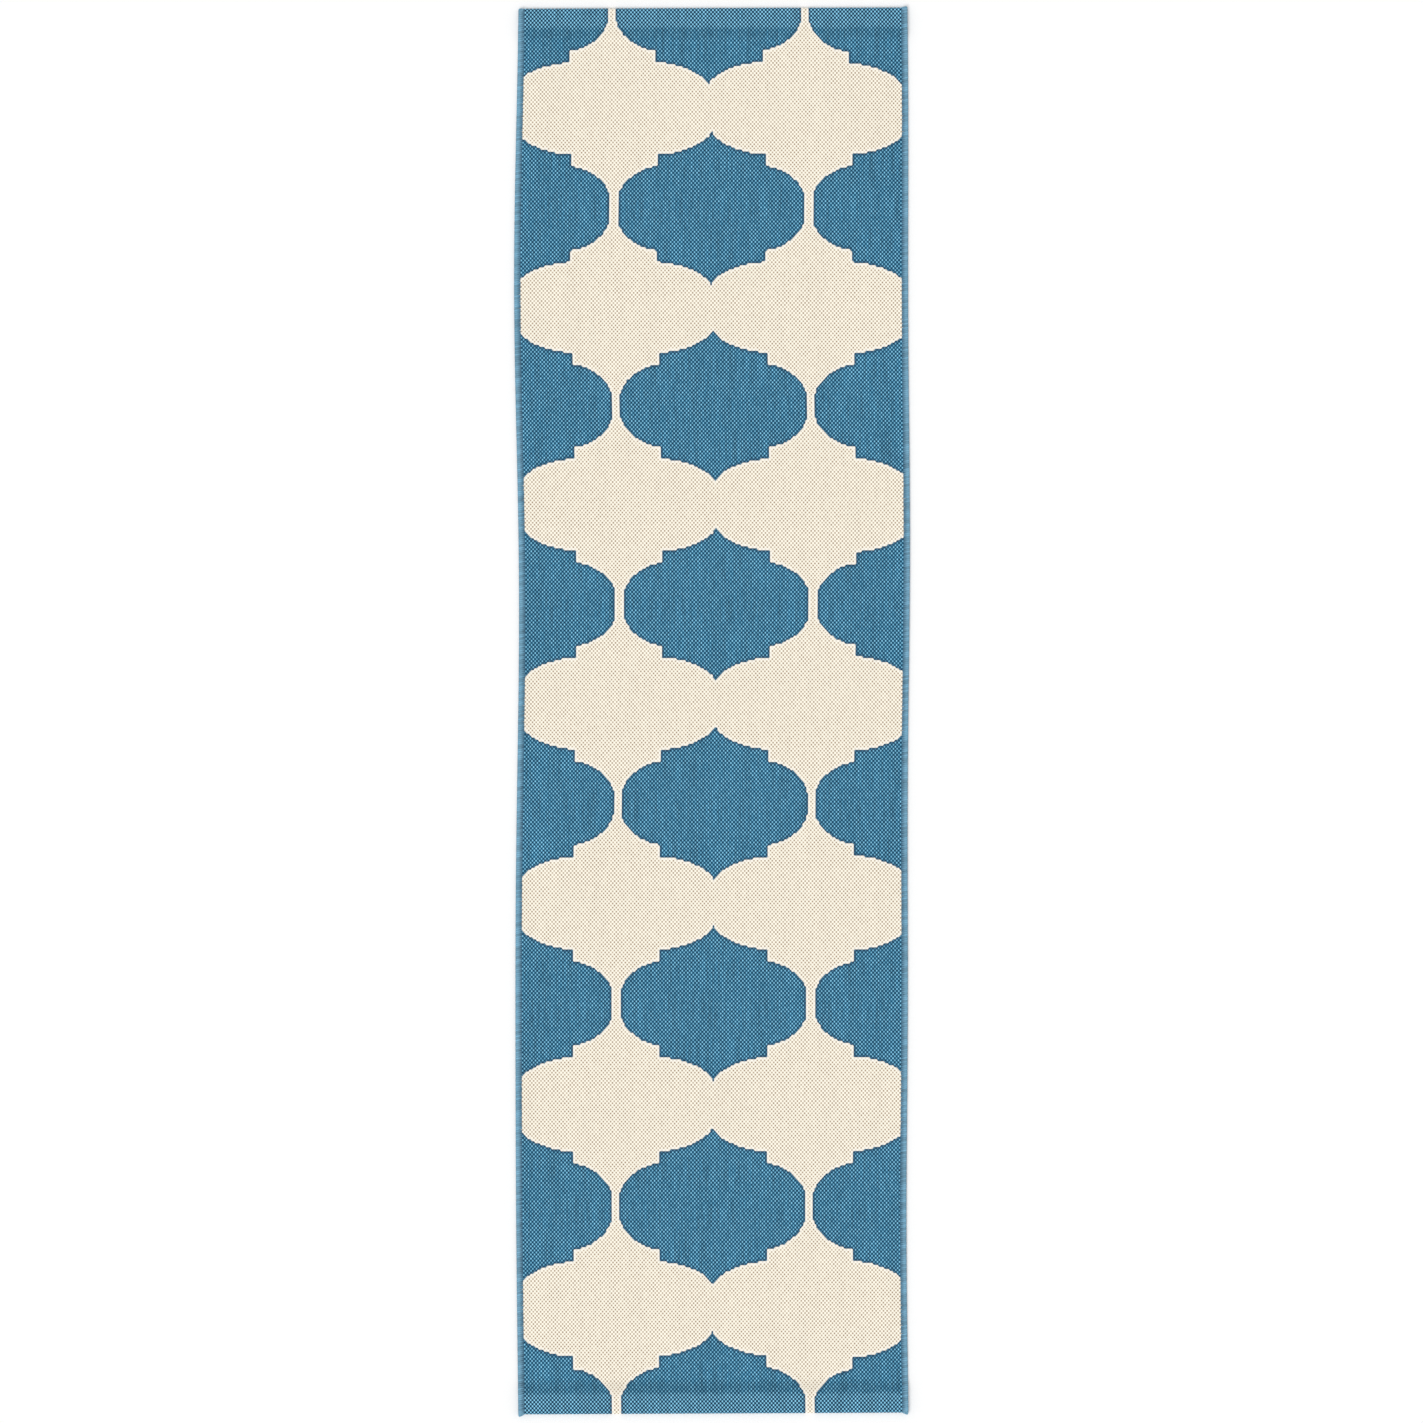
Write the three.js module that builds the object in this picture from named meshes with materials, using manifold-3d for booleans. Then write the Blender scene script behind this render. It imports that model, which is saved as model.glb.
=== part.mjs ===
// A flat-woven runner rug. Blue and cream face yarn lies on a ground cloth with a latex backcoat. Both ends
// are folded under and glued, and both long edges are oversewn with serging yarn that is locked at the corners.
// Millimetres. +Z is up, +Y runs along the rug to its head end, and the origin is under the rug's middle.
import * as THREE from 'three';
import { mergeVertices } from 'three/addons/utils/BufferGeometryUtils.js';
import Module from 'manifold-3d';

const wasm = await Module();
wasm.setup();

// ---------------------------------------------------------------- driving dimensions

const rugWidth = 680;            // over the serging
const rugLength = 2440;          // from fold to fold

const faceThickness = 1.2;       // face yarn above the ground cloth
const groundThickness = 2.2;
const backcoatThickness = 0.8;
const glueThickness = 0.4;       // inside a hem
const layerGap = 0.05;           // between two layers that follow the same curve

const hemLength = 35;            // cloth that is turned under, from the fold to its cut end
const rampLength = 26;           // where the cloth climbs onto its own turned-under end

const sergingWidth = 11;         // seen from above
const sergingThickness = 0.9;    // yarn above the face yarn
const sergingWall = 1.2;         // yarn outside the cloth's cut edge
const edgeGap = 0.3;             // cut edges to the yarn round them
const lockLength = 7;            // corner lock, on the cloth
const lockReach = 3;             // corner lock, past the fold
const lockRadius = 4;

const rowPitch = 347.63;         // along the rug
const rowCount = 8;              // the first is centred on the head fold
const columnPitch = 336.8;       // across the rug
const rowDrift = 9.4;            // the weave runs this much ahead, towards the head, past its middle
const rowDriftPower = 1.6;
const headDrift = -7.5;          // the columns start this far to the side at the head fold,
const headDriftPower = 10;       // are back in place by the first full row,
const bodyDrift = 4;             // and bow this far to the other side further down
const bodyDriftPower = 1.2;
const figureGrowth = 0.035;      // how much longer a figure is at the foot than at the head
const figureGap = 0.3;           // between a figure and the cream yarn round it

// A quarter of a head figure, from its middle: a straight side, a convex curve up to the shoulder, the
// shoulder's upright step, and a concave curve to the tip
const figureHalfWidth = 161.5;
const sideHalfHeight = 17.2;
const shoulderX = 93.8;
const shoulderLowY = 70.9;
const shoulderHighY = 91.6;
const tipY = 129.7;
const convexPower = 1.7;         // 2 would be a quarter ellipse
const concavePower = 1.4;
const curveSteps = 5;
const rampSteps = 4;
const foldSteps = 6;
const lockSteps = 3;

// ---------------------------------------------------------------- layers

// Distances of the layers' faces from the middle of a hem's glue
const glueFace = glueThickness / 2;
const backcoatFace = glueFace + backcoatThickness;
const groundFace = backcoatFace + groundThickness;
const yarnFace = groundFace + faceThickness;
const sergingFace = yarnFace + sergingThickness;

const hemMiddle = yarnFace;                  // height of the glue's middle above the floor
const hemRise = hemMiddle + glueFace;        // how far the cloth climbs
const foldAxis = rugLength / 2 - yarnFace;
const hemStart = rugLength / 2 - hemLength;
const rampStart = hemStart - rampLength;
const lockStart = rugLength / 2 - lockLength;

const sergingInnerX = rugWidth / 2 - sergingWidth;
const wallX = rugWidth / 2 - sergingWall;
const clothHalfWidth = wallX - edgeGap;
const backcoatHalfWidth = sergingInnerX - edgeGap;
const clearOfAll = 20;                       // cutters run this far past what they cut

// Height, on the flat part of the rug, of the face at a distance from the glue's middle
const flatHeight = (distance) => distance - glueFace;

// ---------------------------------------------------------------- solids

function solidOf(geometry) {
  geometry.deleteAttribute('normal');
  geometry.deleteAttribute('uv');
  const merged = mergeVertices(geometry);
  const vertProperties = merged.getAttribute('position').array;
  return new wasm.Manifold(new wasm.Mesh({ numProp: 3, vertProperties, triVerts: merged.index.array }));
}

function extruded(points, depth) {
  const shape = new THREE.Shape(points.map(([a, b]) => new THREE.Vector2(a, b)));
  return new THREE.ExtrudeGeometry(shape, { depth, bevelEnabled: false });
}

// A profile of [y, z] points, from one x to another
function across(profile, fromX, toX) {
  const turn = new THREE.Matrix4().makeBasis(
    new THREE.Vector3(0, 1, 0), new THREE.Vector3(0, 0, 1), new THREE.Vector3(1, 0, 0));
  return solidOf(extruded(profile, toX - fromX).applyMatrix4(turn).translate(fromX, 0, 0));
}

// An outline of [x, y] points, from one height to another
function upward(outline, fromZ, toZ) {
  return solidOf(extruded(outline, toZ - fromZ).translate(0, 0, fromZ));
}

function rectangle(fromA, toA, fromB, toB) {
  return [[fromA, fromB], [toA, fromB], [toA, toB], [fromA, toB]];
}

// The head end's profile turned round for the foot end
const atEnd = (profile, end) => profile.map(([y, z]) => [end * y, z]);

// An x range on the right side, moved to the left side for -1
const atSide = (inner, outer, side) => (side > 0 ? [inner, outer] : [-outer, -inner]);

// ---------------------------------------------------------------- the folded cloth

function rampPath(distance) {
  const path = [];
  for (let step = 0; step <= rampSteps; step++) {
    const t = step / rampSteps;
    path.push([rampStart + rampLength * t, flatHeight(distance) + hemRise * t * t * (3 - 2 * t)]);
  }
  return path;
}

function foldPath(distance) {
  const path = [[hemStart, hemMiddle + distance]];
  for (let step = 0; step <= foldSteps; step++) {
    const turn = Math.PI * step / foldSteps;
    path.push([foldAxis + distance * Math.sin(turn), hemMiddle + distance * Math.cos(turn)]);
  }
  path.push([hemStart, hemMiddle - distance]);
  return path;
}

// From the foot of the ramp, over the raised cloth and round the fold to the cut end underneath
const hemPath = (distance) => [...rampPath(distance), ...foldPath(distance).slice(1)];
const hemBand = (inner, outer) => [...hemPath(outer), ...hemPath(inner).reverse()];
const rampBand = (inner, outer) => [...rampPath(outer), ...rampPath(inner).reverse()];
const foldBand = (inner, outer) => [...foldPath(outer), ...foldPath(inner).reverse()];

const yarnInner = groundFace + layerGap;
const yarnLayer = across(
  [...hemBand(yarnInner, yarnFace), ...atEnd(hemBand(yarnInner, yarnFace), -1).reverse()],
  -clothHalfWidth, clothHalfWidth);

// ---------------------------------------------------------------- figures

// The quarter outline from the side's middle to just before the tip
function quarterFigure() {
  const points = [];
  for (let step = 0; step < curveSteps; step++) {
    const turn = Math.PI / 2 * step / curveSteps;
    points.push([
      shoulderX + (figureHalfWidth - shoulderX) * Math.cos(turn) ** (2 / convexPower),
      sideHalfHeight + (shoulderLowY - sideHalfHeight) * Math.sin(turn) ** (2 / convexPower),
    ]);
  }
  points.push([shoulderX, shoulderLowY]);
  for (let step = 0; step < curveSteps; step++) {
    const turn = Math.PI / 2 * step / curveSteps;
    points.push([
      shoulderX * (1 - Math.sin(turn) ** (2 / concavePower)),
      tipY - (tipY - shoulderHighY) * Math.cos(turn) ** (2 / concavePower),
    ]);
  }
  return points;
}

// Half a figure on the side that x grows, from the lower tip to the upper one
function halfFigure() {
  const quarter = quarterFigure();
  return [[0, -tipY], ...quarter.map(([x, y]) => [x, -y]).reverse(), ...quarter, [0, tipY]];
}

// column is -1, 0 or 1. A side column's figure is a half, and runs straight on past the cloth's edge.
function figureOutline(column) {
  const half = halfFigure();
  if (column === 0) {
    return [...half.slice(0, -1), ...half.slice(1).map(([x, y]) => [-x, y]).reverse()];
  }
  const edge = [[-clearOfAll, tipY], [-clearOfAll, -tipY]];
  return [...half, ...edge].map(([x, y]) => [-column * x, y]);
}

// Each corner moved along the bisector of its two sides, so that every side moves by the distance
function grown(outline, distance) {
  const turning = Math.sign(THREE.ShapeUtils.area(outline.map(([x, y]) => ({ x, y }))));
  return outline.map(([x, y], index) => {
    const [beforeX, beforeY] = outline.at(index - 1);
    const [afterX, afterY] = outline[(index + 1) % outline.length];
    const arriving = new THREE.Vector2(y - beforeY, beforeX - x).normalize();
    const leaving = new THREE.Vector2(afterY - y, x - afterX).normalize();
    const bisector = arriving.clone().add(leaving);
    bisector.multiplyScalar(2 * turning * distance / bisector.lengthSq());
    return [x + bisector.x, y + bisector.y];
  });
}

// Where a figure's outline lies in the weave, which is not quite even: grownBy is what its gap adds
function figureAt(column, row, grownBy) {
  const t = row / (rowCount - 1);
  const x = column * columnPitch + headDrift * (1 - t) ** headDriftPower
    + bodyDrift * Math.sin(Math.PI * t ** bodyDriftPower);
  const y = rugLength / 2 - rowPitch * row + rowDrift * Math.sin(Math.PI * t ** rowDriftPower);
  const outline = figureOutline(column).map(([a, b]) => [a, b * (1 + figureGrowth * t)]);
  return grown(outline, grownBy).map(([a, b]) => [a + x, b + y]);
}

// ---------------------------------------------------------------- serging space

// The space that the serging leaves to the cloth at one end and side: all of the cloth from the ramp to the
// fold, but for the rebate under it
function clothSpace(end, side) {
  const outer = hemPath(yarnFace + layerGap);
  const profile = [...outer, ...rampPath(backcoatFace).reverse()];
  const rebate = rectangle(rampStart, rugLength / 2 + clearOfAll, -clearOfAll, backcoatThickness);
  const [fromX, toX] = atSide(sergingInnerX - clearOfAll, wallX, side);
  return across(atEnd(profile, end), fromX, toX)
    .subtract(across(atEnd(rebate, end), fromX - 1, toX + 1));
}

// The rebate in the turned-under face yarn, where the serging passes below it
function yarnRebate(end, side) {
  const top = backcoatThickness + layerGap;
  const profile = rectangle(hemStart - 1, rugLength / 2 + clearOfAll, -clearOfAll, top);
  const [fromX, toX] = atSide(backcoatHalfWidth, rugWidth, side);
  return across(atEnd(profile, end), fromX, toX);
}

// ---------------------------------------------------------------- materials and meshes

const cloth = (color, roughness) => new THREE.MeshStandardMaterial({ color, roughness, metalness: 0 });
const materials = {
  blueYarn: () => cloth(0x49809b, 0.82),
  creamYarn: () => cloth(0xeee6d4, 0.85),
  groundYarn: () => cloth(0xb9ab93, 0.9),
  backcoat: () => cloth(0xa99e8a, 0.75),
  glue: () => cloth(0xd9d2c0, 0.45),
  sergingYarn: () => cloth(0x6b9db8, 0.7),
};

const group = new THREE.Group();

function add(name, solid, material) {
  const mesh = solid.getMesh();
  const geometry = new THREE.BufferGeometry();
  geometry.setAttribute('position', new THREE.BufferAttribute(mesh.vertProperties, 3));
  geometry.setIndex(new THREE.BufferAttribute(mesh.triVerts, 1));
  geometry.computeVertexNormals();
  const node = new THREE.Mesh(geometry, material());
  node.name = name;
  group.add(node);
}

// ---------------------------------------------------------------- face yarn

const ends = { head: 1, foot: -1 };
const sides = { left: -1, right: 1 };
const columns = { left: -1, middle: 0, right: 1 };
const rebates = [];
for (const end of Object.values(ends)) {
  for (const side of Object.values(sides)) rebates.push(yarnRebate(end, side));
}

function addFaceYarn() {
  const yarnBottom = flatHeight(yarnInner);
  const yarnTop = flatHeight(yarnFace);
  const openings = [];
  for (const [columnName, column] of Object.entries(columns)) {
    for (let row = 0; row < rowCount; row++) {
      const figure = figureAt(column, row, -figureGap / 2);
      openings.push(upward(figureAt(column, row, figureGap / 2), -clearOfAll, clearOfAll));
      if (row === 0 || row === rowCount - 1) {
        const wrapped = upward(figure, -clearOfAll, clearOfAll).intersect(yarnLayer);
        const solid = rebates.reduce((rest, rebate) => rest.subtract(rebate), wrapped);
        add(`blue_figure_${columnName}_${row === 0 ? 'head' : 'foot'}`, solid, materials.blueYarn);
      } else {
        const edge = rectangle(-clothHalfWidth, clothHalfWidth, -rugLength, rugLength);
        const solid = upward(figure, yarnBottom, yarnTop)
          .intersect(upward(edge, yarnBottom - 1, yarnTop + 1));
        add(`blue_figure_${columnName}_${row}`, solid, materials.blueYarn);
      }
    }
  }
  const cream = [...openings, ...rebates].reduce((rest, cutter) => rest.subtract(cutter), yarnLayer);
  add('cream_face_yarn', cream, materials.creamYarn);
}

// ---------------------------------------------------------------- ground cloth, backcoat and glue

function addGroundCloth() {
  const inner = backcoatFace + layerGap;
  const field = rectangle(-rampStart, rampStart, flatHeight(inner), flatHeight(groundFace));
  add('ground_cloth_field', across(field, -clothHalfWidth, clothHalfWidth), materials.groundYarn);
  for (const [name, end] of Object.entries(ends)) {
    const hem = across(atEnd(hemBand(inner, groundFace), end), -clothHalfWidth, clothHalfWidth);
    add(`ground_cloth_${name}_hem`, hem, materials.groundYarn);
  }
}

function addBackcoat() {
  const field = rectangle(-rampStart, rampStart, 0, backcoatThickness);
  add('backcoat_field', across(field, -backcoatHalfWidth, backcoatHalfWidth), materials.backcoat);
  for (const [name, end] of Object.entries(ends)) {
    const ramp = atEnd(rampBand(glueFace, backcoatFace), end);
    const fold = atEnd(foldBand(glueFace, backcoatFace), end);
    const hem = across(ramp, -backcoatHalfWidth, backcoatHalfWidth)
      .add(across(fold, -clothHalfWidth, clothHalfWidth));
    add(`backcoat_${name}_hem`, hem, materials.backcoat);
  }
}

function addHemGlue() {
  const faceOfGlue = glueFace - layerGap;
  for (const [name, end] of Object.entries(ends)) {
    const strip = atEnd(foldPath(faceOfGlue), end);
    add(`hem_glue_${name}`, across(strip, -clothHalfWidth, clothHalfWidth), materials.glue);
  }
}

// ---------------------------------------------------------------- serging and its corner locks

// Round the flat stretch between the ramps
function sergingMiddle(side) {
  const sleeve = rectangle(-rampStart, rampStart, 0, flatHeight(sergingFace));
  const inside = rectangle(
    -rampStart - clearOfAll, rampStart + clearOfAll, backcoatThickness, flatHeight(yarnFace + layerGap));
  return across(sleeve, ...atSide(sergingInnerX, rugWidth / 2, side))
    .subtract(across(inside, ...atSide(sergingInnerX - clearOfAll, wallX, side)));
}

// Round the ramp and the doubled hem, as far as the corner lock
function sergingEnd(end, side) {
  const sleeve = [
    ...rampPath(glueFace), [hemStart, 0], [lockStart, 0], [lockStart, hemMiddle + sergingFace],
    ...rampPath(sergingFace).reverse(),
  ];
  return across(atEnd(sleeve, end), ...atSide(sergingInnerX, rugWidth / 2, side))
    .subtract(clothSpace(end, side));
}

// The back-tacked yarn round the corner of the fold
function cornerLock(end, side) {
  const height = hemMiddle + sergingFace;
  const noseY = rugLength / 2 + lockReach - lockRadius;
  const lowerHalf = [[lockStart, 0]];
  for (let step = 0; step <= lockSteps; step++) {
    const turn = Math.PI / 2 * step / lockSteps;
    lowerHalf.push([noseY + lockRadius * Math.sin(turn), lockRadius * (1 - Math.cos(turn))]);
  }
  const profile = [...lowerHalf, ...lowerHalf.map(([y, z]) => [y, height - z]).reverse()];
  return across(atEnd(profile, end), ...atSide(sergingInnerX, rugWidth / 2, side))
    .subtract(clothSpace(end, side));
}

function addSerging() {
  for (const [sideName, side] of Object.entries(sides)) {
    add(`serging_${sideName}_middle`, sergingMiddle(side), materials.sergingYarn);
    for (const [endName, end] of Object.entries(ends)) {
      add(`serging_${sideName}_${endName}`, sergingEnd(end, side), materials.sergingYarn);
      add(`corner_lock_${sideName}_${endName}`, cornerLock(end, side), materials.sergingYarn);
    }
  }
}

addFaceYarn();
addGroundCloth();
addBackcoat();
addHemGlue();
addSerging();

export default group;
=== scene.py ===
"""A flat-woven runner rug, laid over its fixed frame.

Blue and cream face yarn lies on a ground cloth with a latex backcoat. Both ends are folded under and glued,
and both long edges are oversewn with serging yarn that is locked at the corners. Metres, +Z up, and +Y runs
along the rug to its head end.
"""

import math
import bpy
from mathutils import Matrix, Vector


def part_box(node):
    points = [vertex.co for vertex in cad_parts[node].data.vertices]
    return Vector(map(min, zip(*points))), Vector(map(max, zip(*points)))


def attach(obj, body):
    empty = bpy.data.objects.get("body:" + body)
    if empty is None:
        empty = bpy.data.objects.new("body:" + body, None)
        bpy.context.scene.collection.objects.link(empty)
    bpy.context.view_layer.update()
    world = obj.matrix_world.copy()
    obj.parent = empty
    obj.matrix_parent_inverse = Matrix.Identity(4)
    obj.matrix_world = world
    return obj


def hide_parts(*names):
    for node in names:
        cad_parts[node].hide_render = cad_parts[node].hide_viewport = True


bl_info = {
    "name": "Runner rug",
    "version": (1, 0, 0),
    "blender": (4, 5, 0),
    "location": "3D View > Sidebar > Rug",
    "description": "Weaves, hems and serges a runner rug over its frame",
    "category": "Object",
}

from types import SimpleNamespace

import bpy
import numpy as np
from bpy.props import FloatProperty, FloatVectorProperty, IntProperty, PointerProperty
from bpy.types import Operator, Panel, PropertyGroup

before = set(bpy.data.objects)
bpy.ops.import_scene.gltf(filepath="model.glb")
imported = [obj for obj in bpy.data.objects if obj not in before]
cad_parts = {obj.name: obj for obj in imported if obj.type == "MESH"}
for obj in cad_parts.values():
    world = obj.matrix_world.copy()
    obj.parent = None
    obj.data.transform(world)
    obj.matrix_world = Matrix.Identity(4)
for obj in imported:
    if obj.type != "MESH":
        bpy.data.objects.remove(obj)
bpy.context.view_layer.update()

MM = 0.001
COLUMNS = {"left": -1, "middle": 0, "right": 1}
SIDES = {"left": -1, "right": 1}
ENDS = {"head": 1, "foot": -1}
LAST_ROW = 7
ROWS = ["head", *(str(row) for row in range(1, LAST_ROW)), "foot"]


# ---------------------------------------------------------------- sizes and colours


def length(name, description, millimetres):
    return FloatProperty(name=name, description=description, default=millimetres * MM, unit="LENGTH")


def share(name, description, value):
    return FloatProperty(name=name, description=description, default=value, subtype="FACTOR")


def angle(name, description, degrees):
    return FloatProperty(name=name, description=description, default=math.radians(degrees), unit="ROTATION")


def colour(name, description, red, green, blue):
    """A colour given as a screen shows it, from 0 to 255"""
    light = [((c / 255 + 0.055) / 1.055) ** 2.4 if c > 10 else c / 255 / 12.92 for c in (red, green, blue)]
    return FloatVectorProperty(name=name, description=description, default=light, subtype="COLOR", size=3)


class WeaveSizes(PropertyGroup):
    column_pitch: length("Column pitch", "Width of one weave cell", 3.19)
    row_pitch: length("Row pitch", "Length of one weave cell", 3.54)
    crown: length("Crown", "How far a float of yarn stands above the face", 0.15)
    gap: length("Gap", "How deep the hole between the floats is", 0.6)
    rib: length("Rib", "How deep the groove between two columns is", 0.12)
    valley: length("Valley", "How far the yarn dips where two colours meet", 0.18)
    inset: length("Inset", "Space that a blue figure leaves to the cream yarn", 0.12)
    rounding: share("Rounding", "How much of a cell a colour's steps are rounded by", 0.2)
    unevenness: share("Unevenness", "How much one float differs from the next", 0.3)
    seed: IntProperty(name="Seed", description="Picks the uneven floats", default=7)


class FigureSizes(PropertyGroup):
    half_width: length("Half width", "From the middle to the straight side", 161.5)
    side: length("Side", "Half the height of the straight side", 17.2)
    shoulder: length("Shoulder", "From the middle to the shoulder's step", 93.8)
    shoulder_low: length("Step start", "Height at which the shoulder's step starts", 70.9)
    shoulder_high: length("Step end", "Height at which the shoulder's step ends", 91.6)
    tip: length("Tip", "From the middle to the tip of a head figure", 129.7)
    convex: FloatProperty(name="Convex power", description="2 is a quarter ellipse", default=1.7)
    concave: FloatProperty(name="Concave power", description="2 is a quarter ellipse", default=1.7)
    space: length("Space", "Gap that the frame keeps round a figure", 0.3)
    growth: share("Growth", "How much longer a foot figure is than a head figure", 0.035)
    point: length("Point", "How much sharper a tip is drawn, as its last cells fall short of it", 4.5)
    more_left_head: length("Left head", "How much further the weave takes this figure than the frame", 9.9)
    more_middle_head: length("Middle head", "How much further the weave takes this figure", 2.6)
    more_right_head: length("Right head", "How much further the weave takes this figure", 5.2)
    more_first: length("First row", "How much further down the first full row reaches", 3.7)
    more_last: length("Last row", "How much further down the last full row reaches", 3.0)
    more_left_foot: length("Left foot", "How much further the weave takes this figure than the frame", -2.0)
    more_middle_foot: length("Middle foot", "How much further the weave takes this figure", -0.5)
    more_right_foot: length("Right foot", "How much further the weave takes this figure", -5.0)


class BowSizes(PropertyGroup):
    left_short: length("Left short bow", "Height of the left edge's short wave", 1.2)
    left_short_length: length("Left short length", "Length of that wave", 900)
    left_short_start: angle("Left short start", "Place of that wave", 112)
    left_long: length("Left long bow", "Height of the left edge's long wave", 3.4)
    left_long_length: length("Left long length", "Length of that wave", 1350)
    left_long_start: angle("Left long start", "Place of that wave", 23)
    right_short: length("Right short bow", "Height of the right edge's short wave", 1.1)
    right_short_length: length("Right short length", "Length of that wave", 800)
    right_short_start: angle("Right short start", "Place of that wave", 125)
    right_long: length("Right long bow", "Height of the right edge's long wave", 2.1)
    right_long_length: length("Right long length", "Length of that wave", 2150)
    right_long_start: angle("Right long start", "Place of that wave", 58)
    head_skew: length("Head skew", "How far the head fold falls back at its left end", 2.2)
    foot_skew: length("Foot skew", "How far the foot fold runs on at its left end", 3.1)


class SergingSizes(PropertyGroup):
    pitch: length("Wrap pitch", "From one wrap of yarn to the next", 3.5)
    yarn_width: length("Yarn width", "Width of the flattened yarn", 4.3)
    yarn_thickness: length("Yarn thickness", "Thickness of the flattened yarn", 0.85)
    slant: length("Slant", "How far a wrap leans along the edge on its way across", 2.2)
    squeeze: length("Squeeze", "How far the wraps press the cloth's edge down", 0.75)
    unevenness: share("Unevenness", "How much one wrap differs from the next", 0.14)
    nub_left_head: length("Left head nub", "How far the lock stands past the fold", 0.2)
    nub_right_head: length("Right head nub", "How far the lock stands past the fold", 2.4)
    nub_left_foot: length("Left foot nub", "How far the lock stands past the fold", 4.6)
    nub_right_foot: length("Right foot nub", "How far the lock stands past the fold", 3.6)
    seed: IntProperty(name="Seed", description="Picks the uneven wraps", default=11)


class RugColours(PropertyGroup):
    # crown, body and gap: the yarn's tone with painted light on top and painted shade down into the gaps
    blue_crown: colour("Blue crown", "Blue yarn on top of a float", 136, 200, 228)
    blue_body: colour("Blue body", "Blue yarn on the side of a float", 18, 98, 133)
    blue_gap: colour("Blue gap", "Between the blue floats", 0, 34, 60)
    blue_rim: colour("Blue rim", "Where blue meets cream", 24, 40, 70)
    cream_crown: colour("Cream crown", "Cream yarn on top of a float", 255, 250, 236)
    cream_body: colour("Cream body", "Cream yarn on the side of a float", 246, 238, 219)
    cream_gap: colour("Cream gap", "Between the cream floats", 156, 133, 110)
    cream_rim: colour("Cream rim", "Where cream meets blue", 255, 252, 246)
    serging: colour("Serging", "Serging yarn", 118, 168, 194)
    # painted shade between two wraps
    serging_crease: colour("Serging crease", "Between two wraps", 30, 80, 108)
    ground: colour("Ground", "Ground cloth", 185, 171, 147)
    # painted shade between the ground yarns
    ground_gap: colour("Ground gap", "Between the ground yarns", 92, 80, 64)
    latex: colour("Latex", "Backcoat", 188, 180, 162)
    # painted shade in the cloth's hollows
    latex_low: colour("Latex low", "Backcoat in the hollows of the cloth", 120, 110, 92)
    glue: colour("Glue", "Hem glue", 217, 210, 192)
    floor: colour("Floor", "Floor", 250, 250, 250)


class StageSizes(PropertyGroup):
    view_width: length("View width", "Width of floor that the camera sees", 2471)
    view_right: length("View right", "How far the view's middle lies right of the rug's", -1.6)
    view_up: length("View up", "How far the view's middle lies towards the head", -2.5)
    lens: FloatProperty(name="Lens", description="Focal length", default=100, unit="CAMERA")
    floor_size: length("Floor size", "Side of the floor", 60000)
    sky: FloatProperty(name="Sky", description="Strength of the even light", default=0.72)
    sun: FloatProperty(name="Sun", description="Strength of the soft sun", default=1.25)
    sun_angle: angle("Sun angle", "How wide the sun is", 35)
    sun_tilt: angle("Sun tilt", "How far the sun stands from overhead", 32)
    sun_turn: angle("Sun turn", "Where the sun stands round the rug", -38)


class RugSettings(PropertyGroup):
    weave: PointerProperty(type=WeaveSizes)
    figure: PointerProperty(type=FigureSizes)
    bow: PointerProperty(type=BowSizes)
    serging: PointerProperty(type=SergingSizes)
    colours: PointerProperty(type=RugColours)
    stage: PointerProperty(type=StageSizes)


# ---------------------------------------------------------------- the frame


def read_frame():
    """Heights of the layers where the rug lies flat, and the lines of a hem"""
    yarn_low, yarn_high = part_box("blue_figure_middle_3")
    ground_low, ground_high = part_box("ground_cloth_field")
    backcoat_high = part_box("backcoat_field")[1]
    hem_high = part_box("blue_figure_middle_head")[1]
    glue_low, glue_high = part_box("hem_glue_head")
    serging_low, serging_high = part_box("serging_right_middle")
    lock_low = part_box("corner_lock_right_head")[0]
    glue_middle = (glue_low.z + glue_high.z) / 2
    return SimpleNamespace(
        yarn_bottom=yarn_low.z,
        yarn_top=yarn_high.z,
        ground_bottom=ground_low.z,
        ground_top=ground_high.z,
        backcoat_top=backcoat_high.z,
        glue_bottom=glue_low.z,
        glue_top=glue_high.z,
        glue_middle=glue_middle,
        hem_top=hem_high.z,
        hem_rise=hem_high.z - yarn_high.z,
        fold=hem_high.y,
        fold_axis=hem_high.y - (hem_high.z - glue_middle),
        hem_start=glue_low.y,
        ramp_start=ground_high.y,
        cloth_half_width=ground_high.x,
        backcoat_half_width=backcoat_high.x,
        serging_inner=serging_low.x,
        serging_outer=serging_high.x,
        serging_top=serging_high.z,
        lock_start=lock_low.y,
    )


cad = read_frame()


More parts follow.
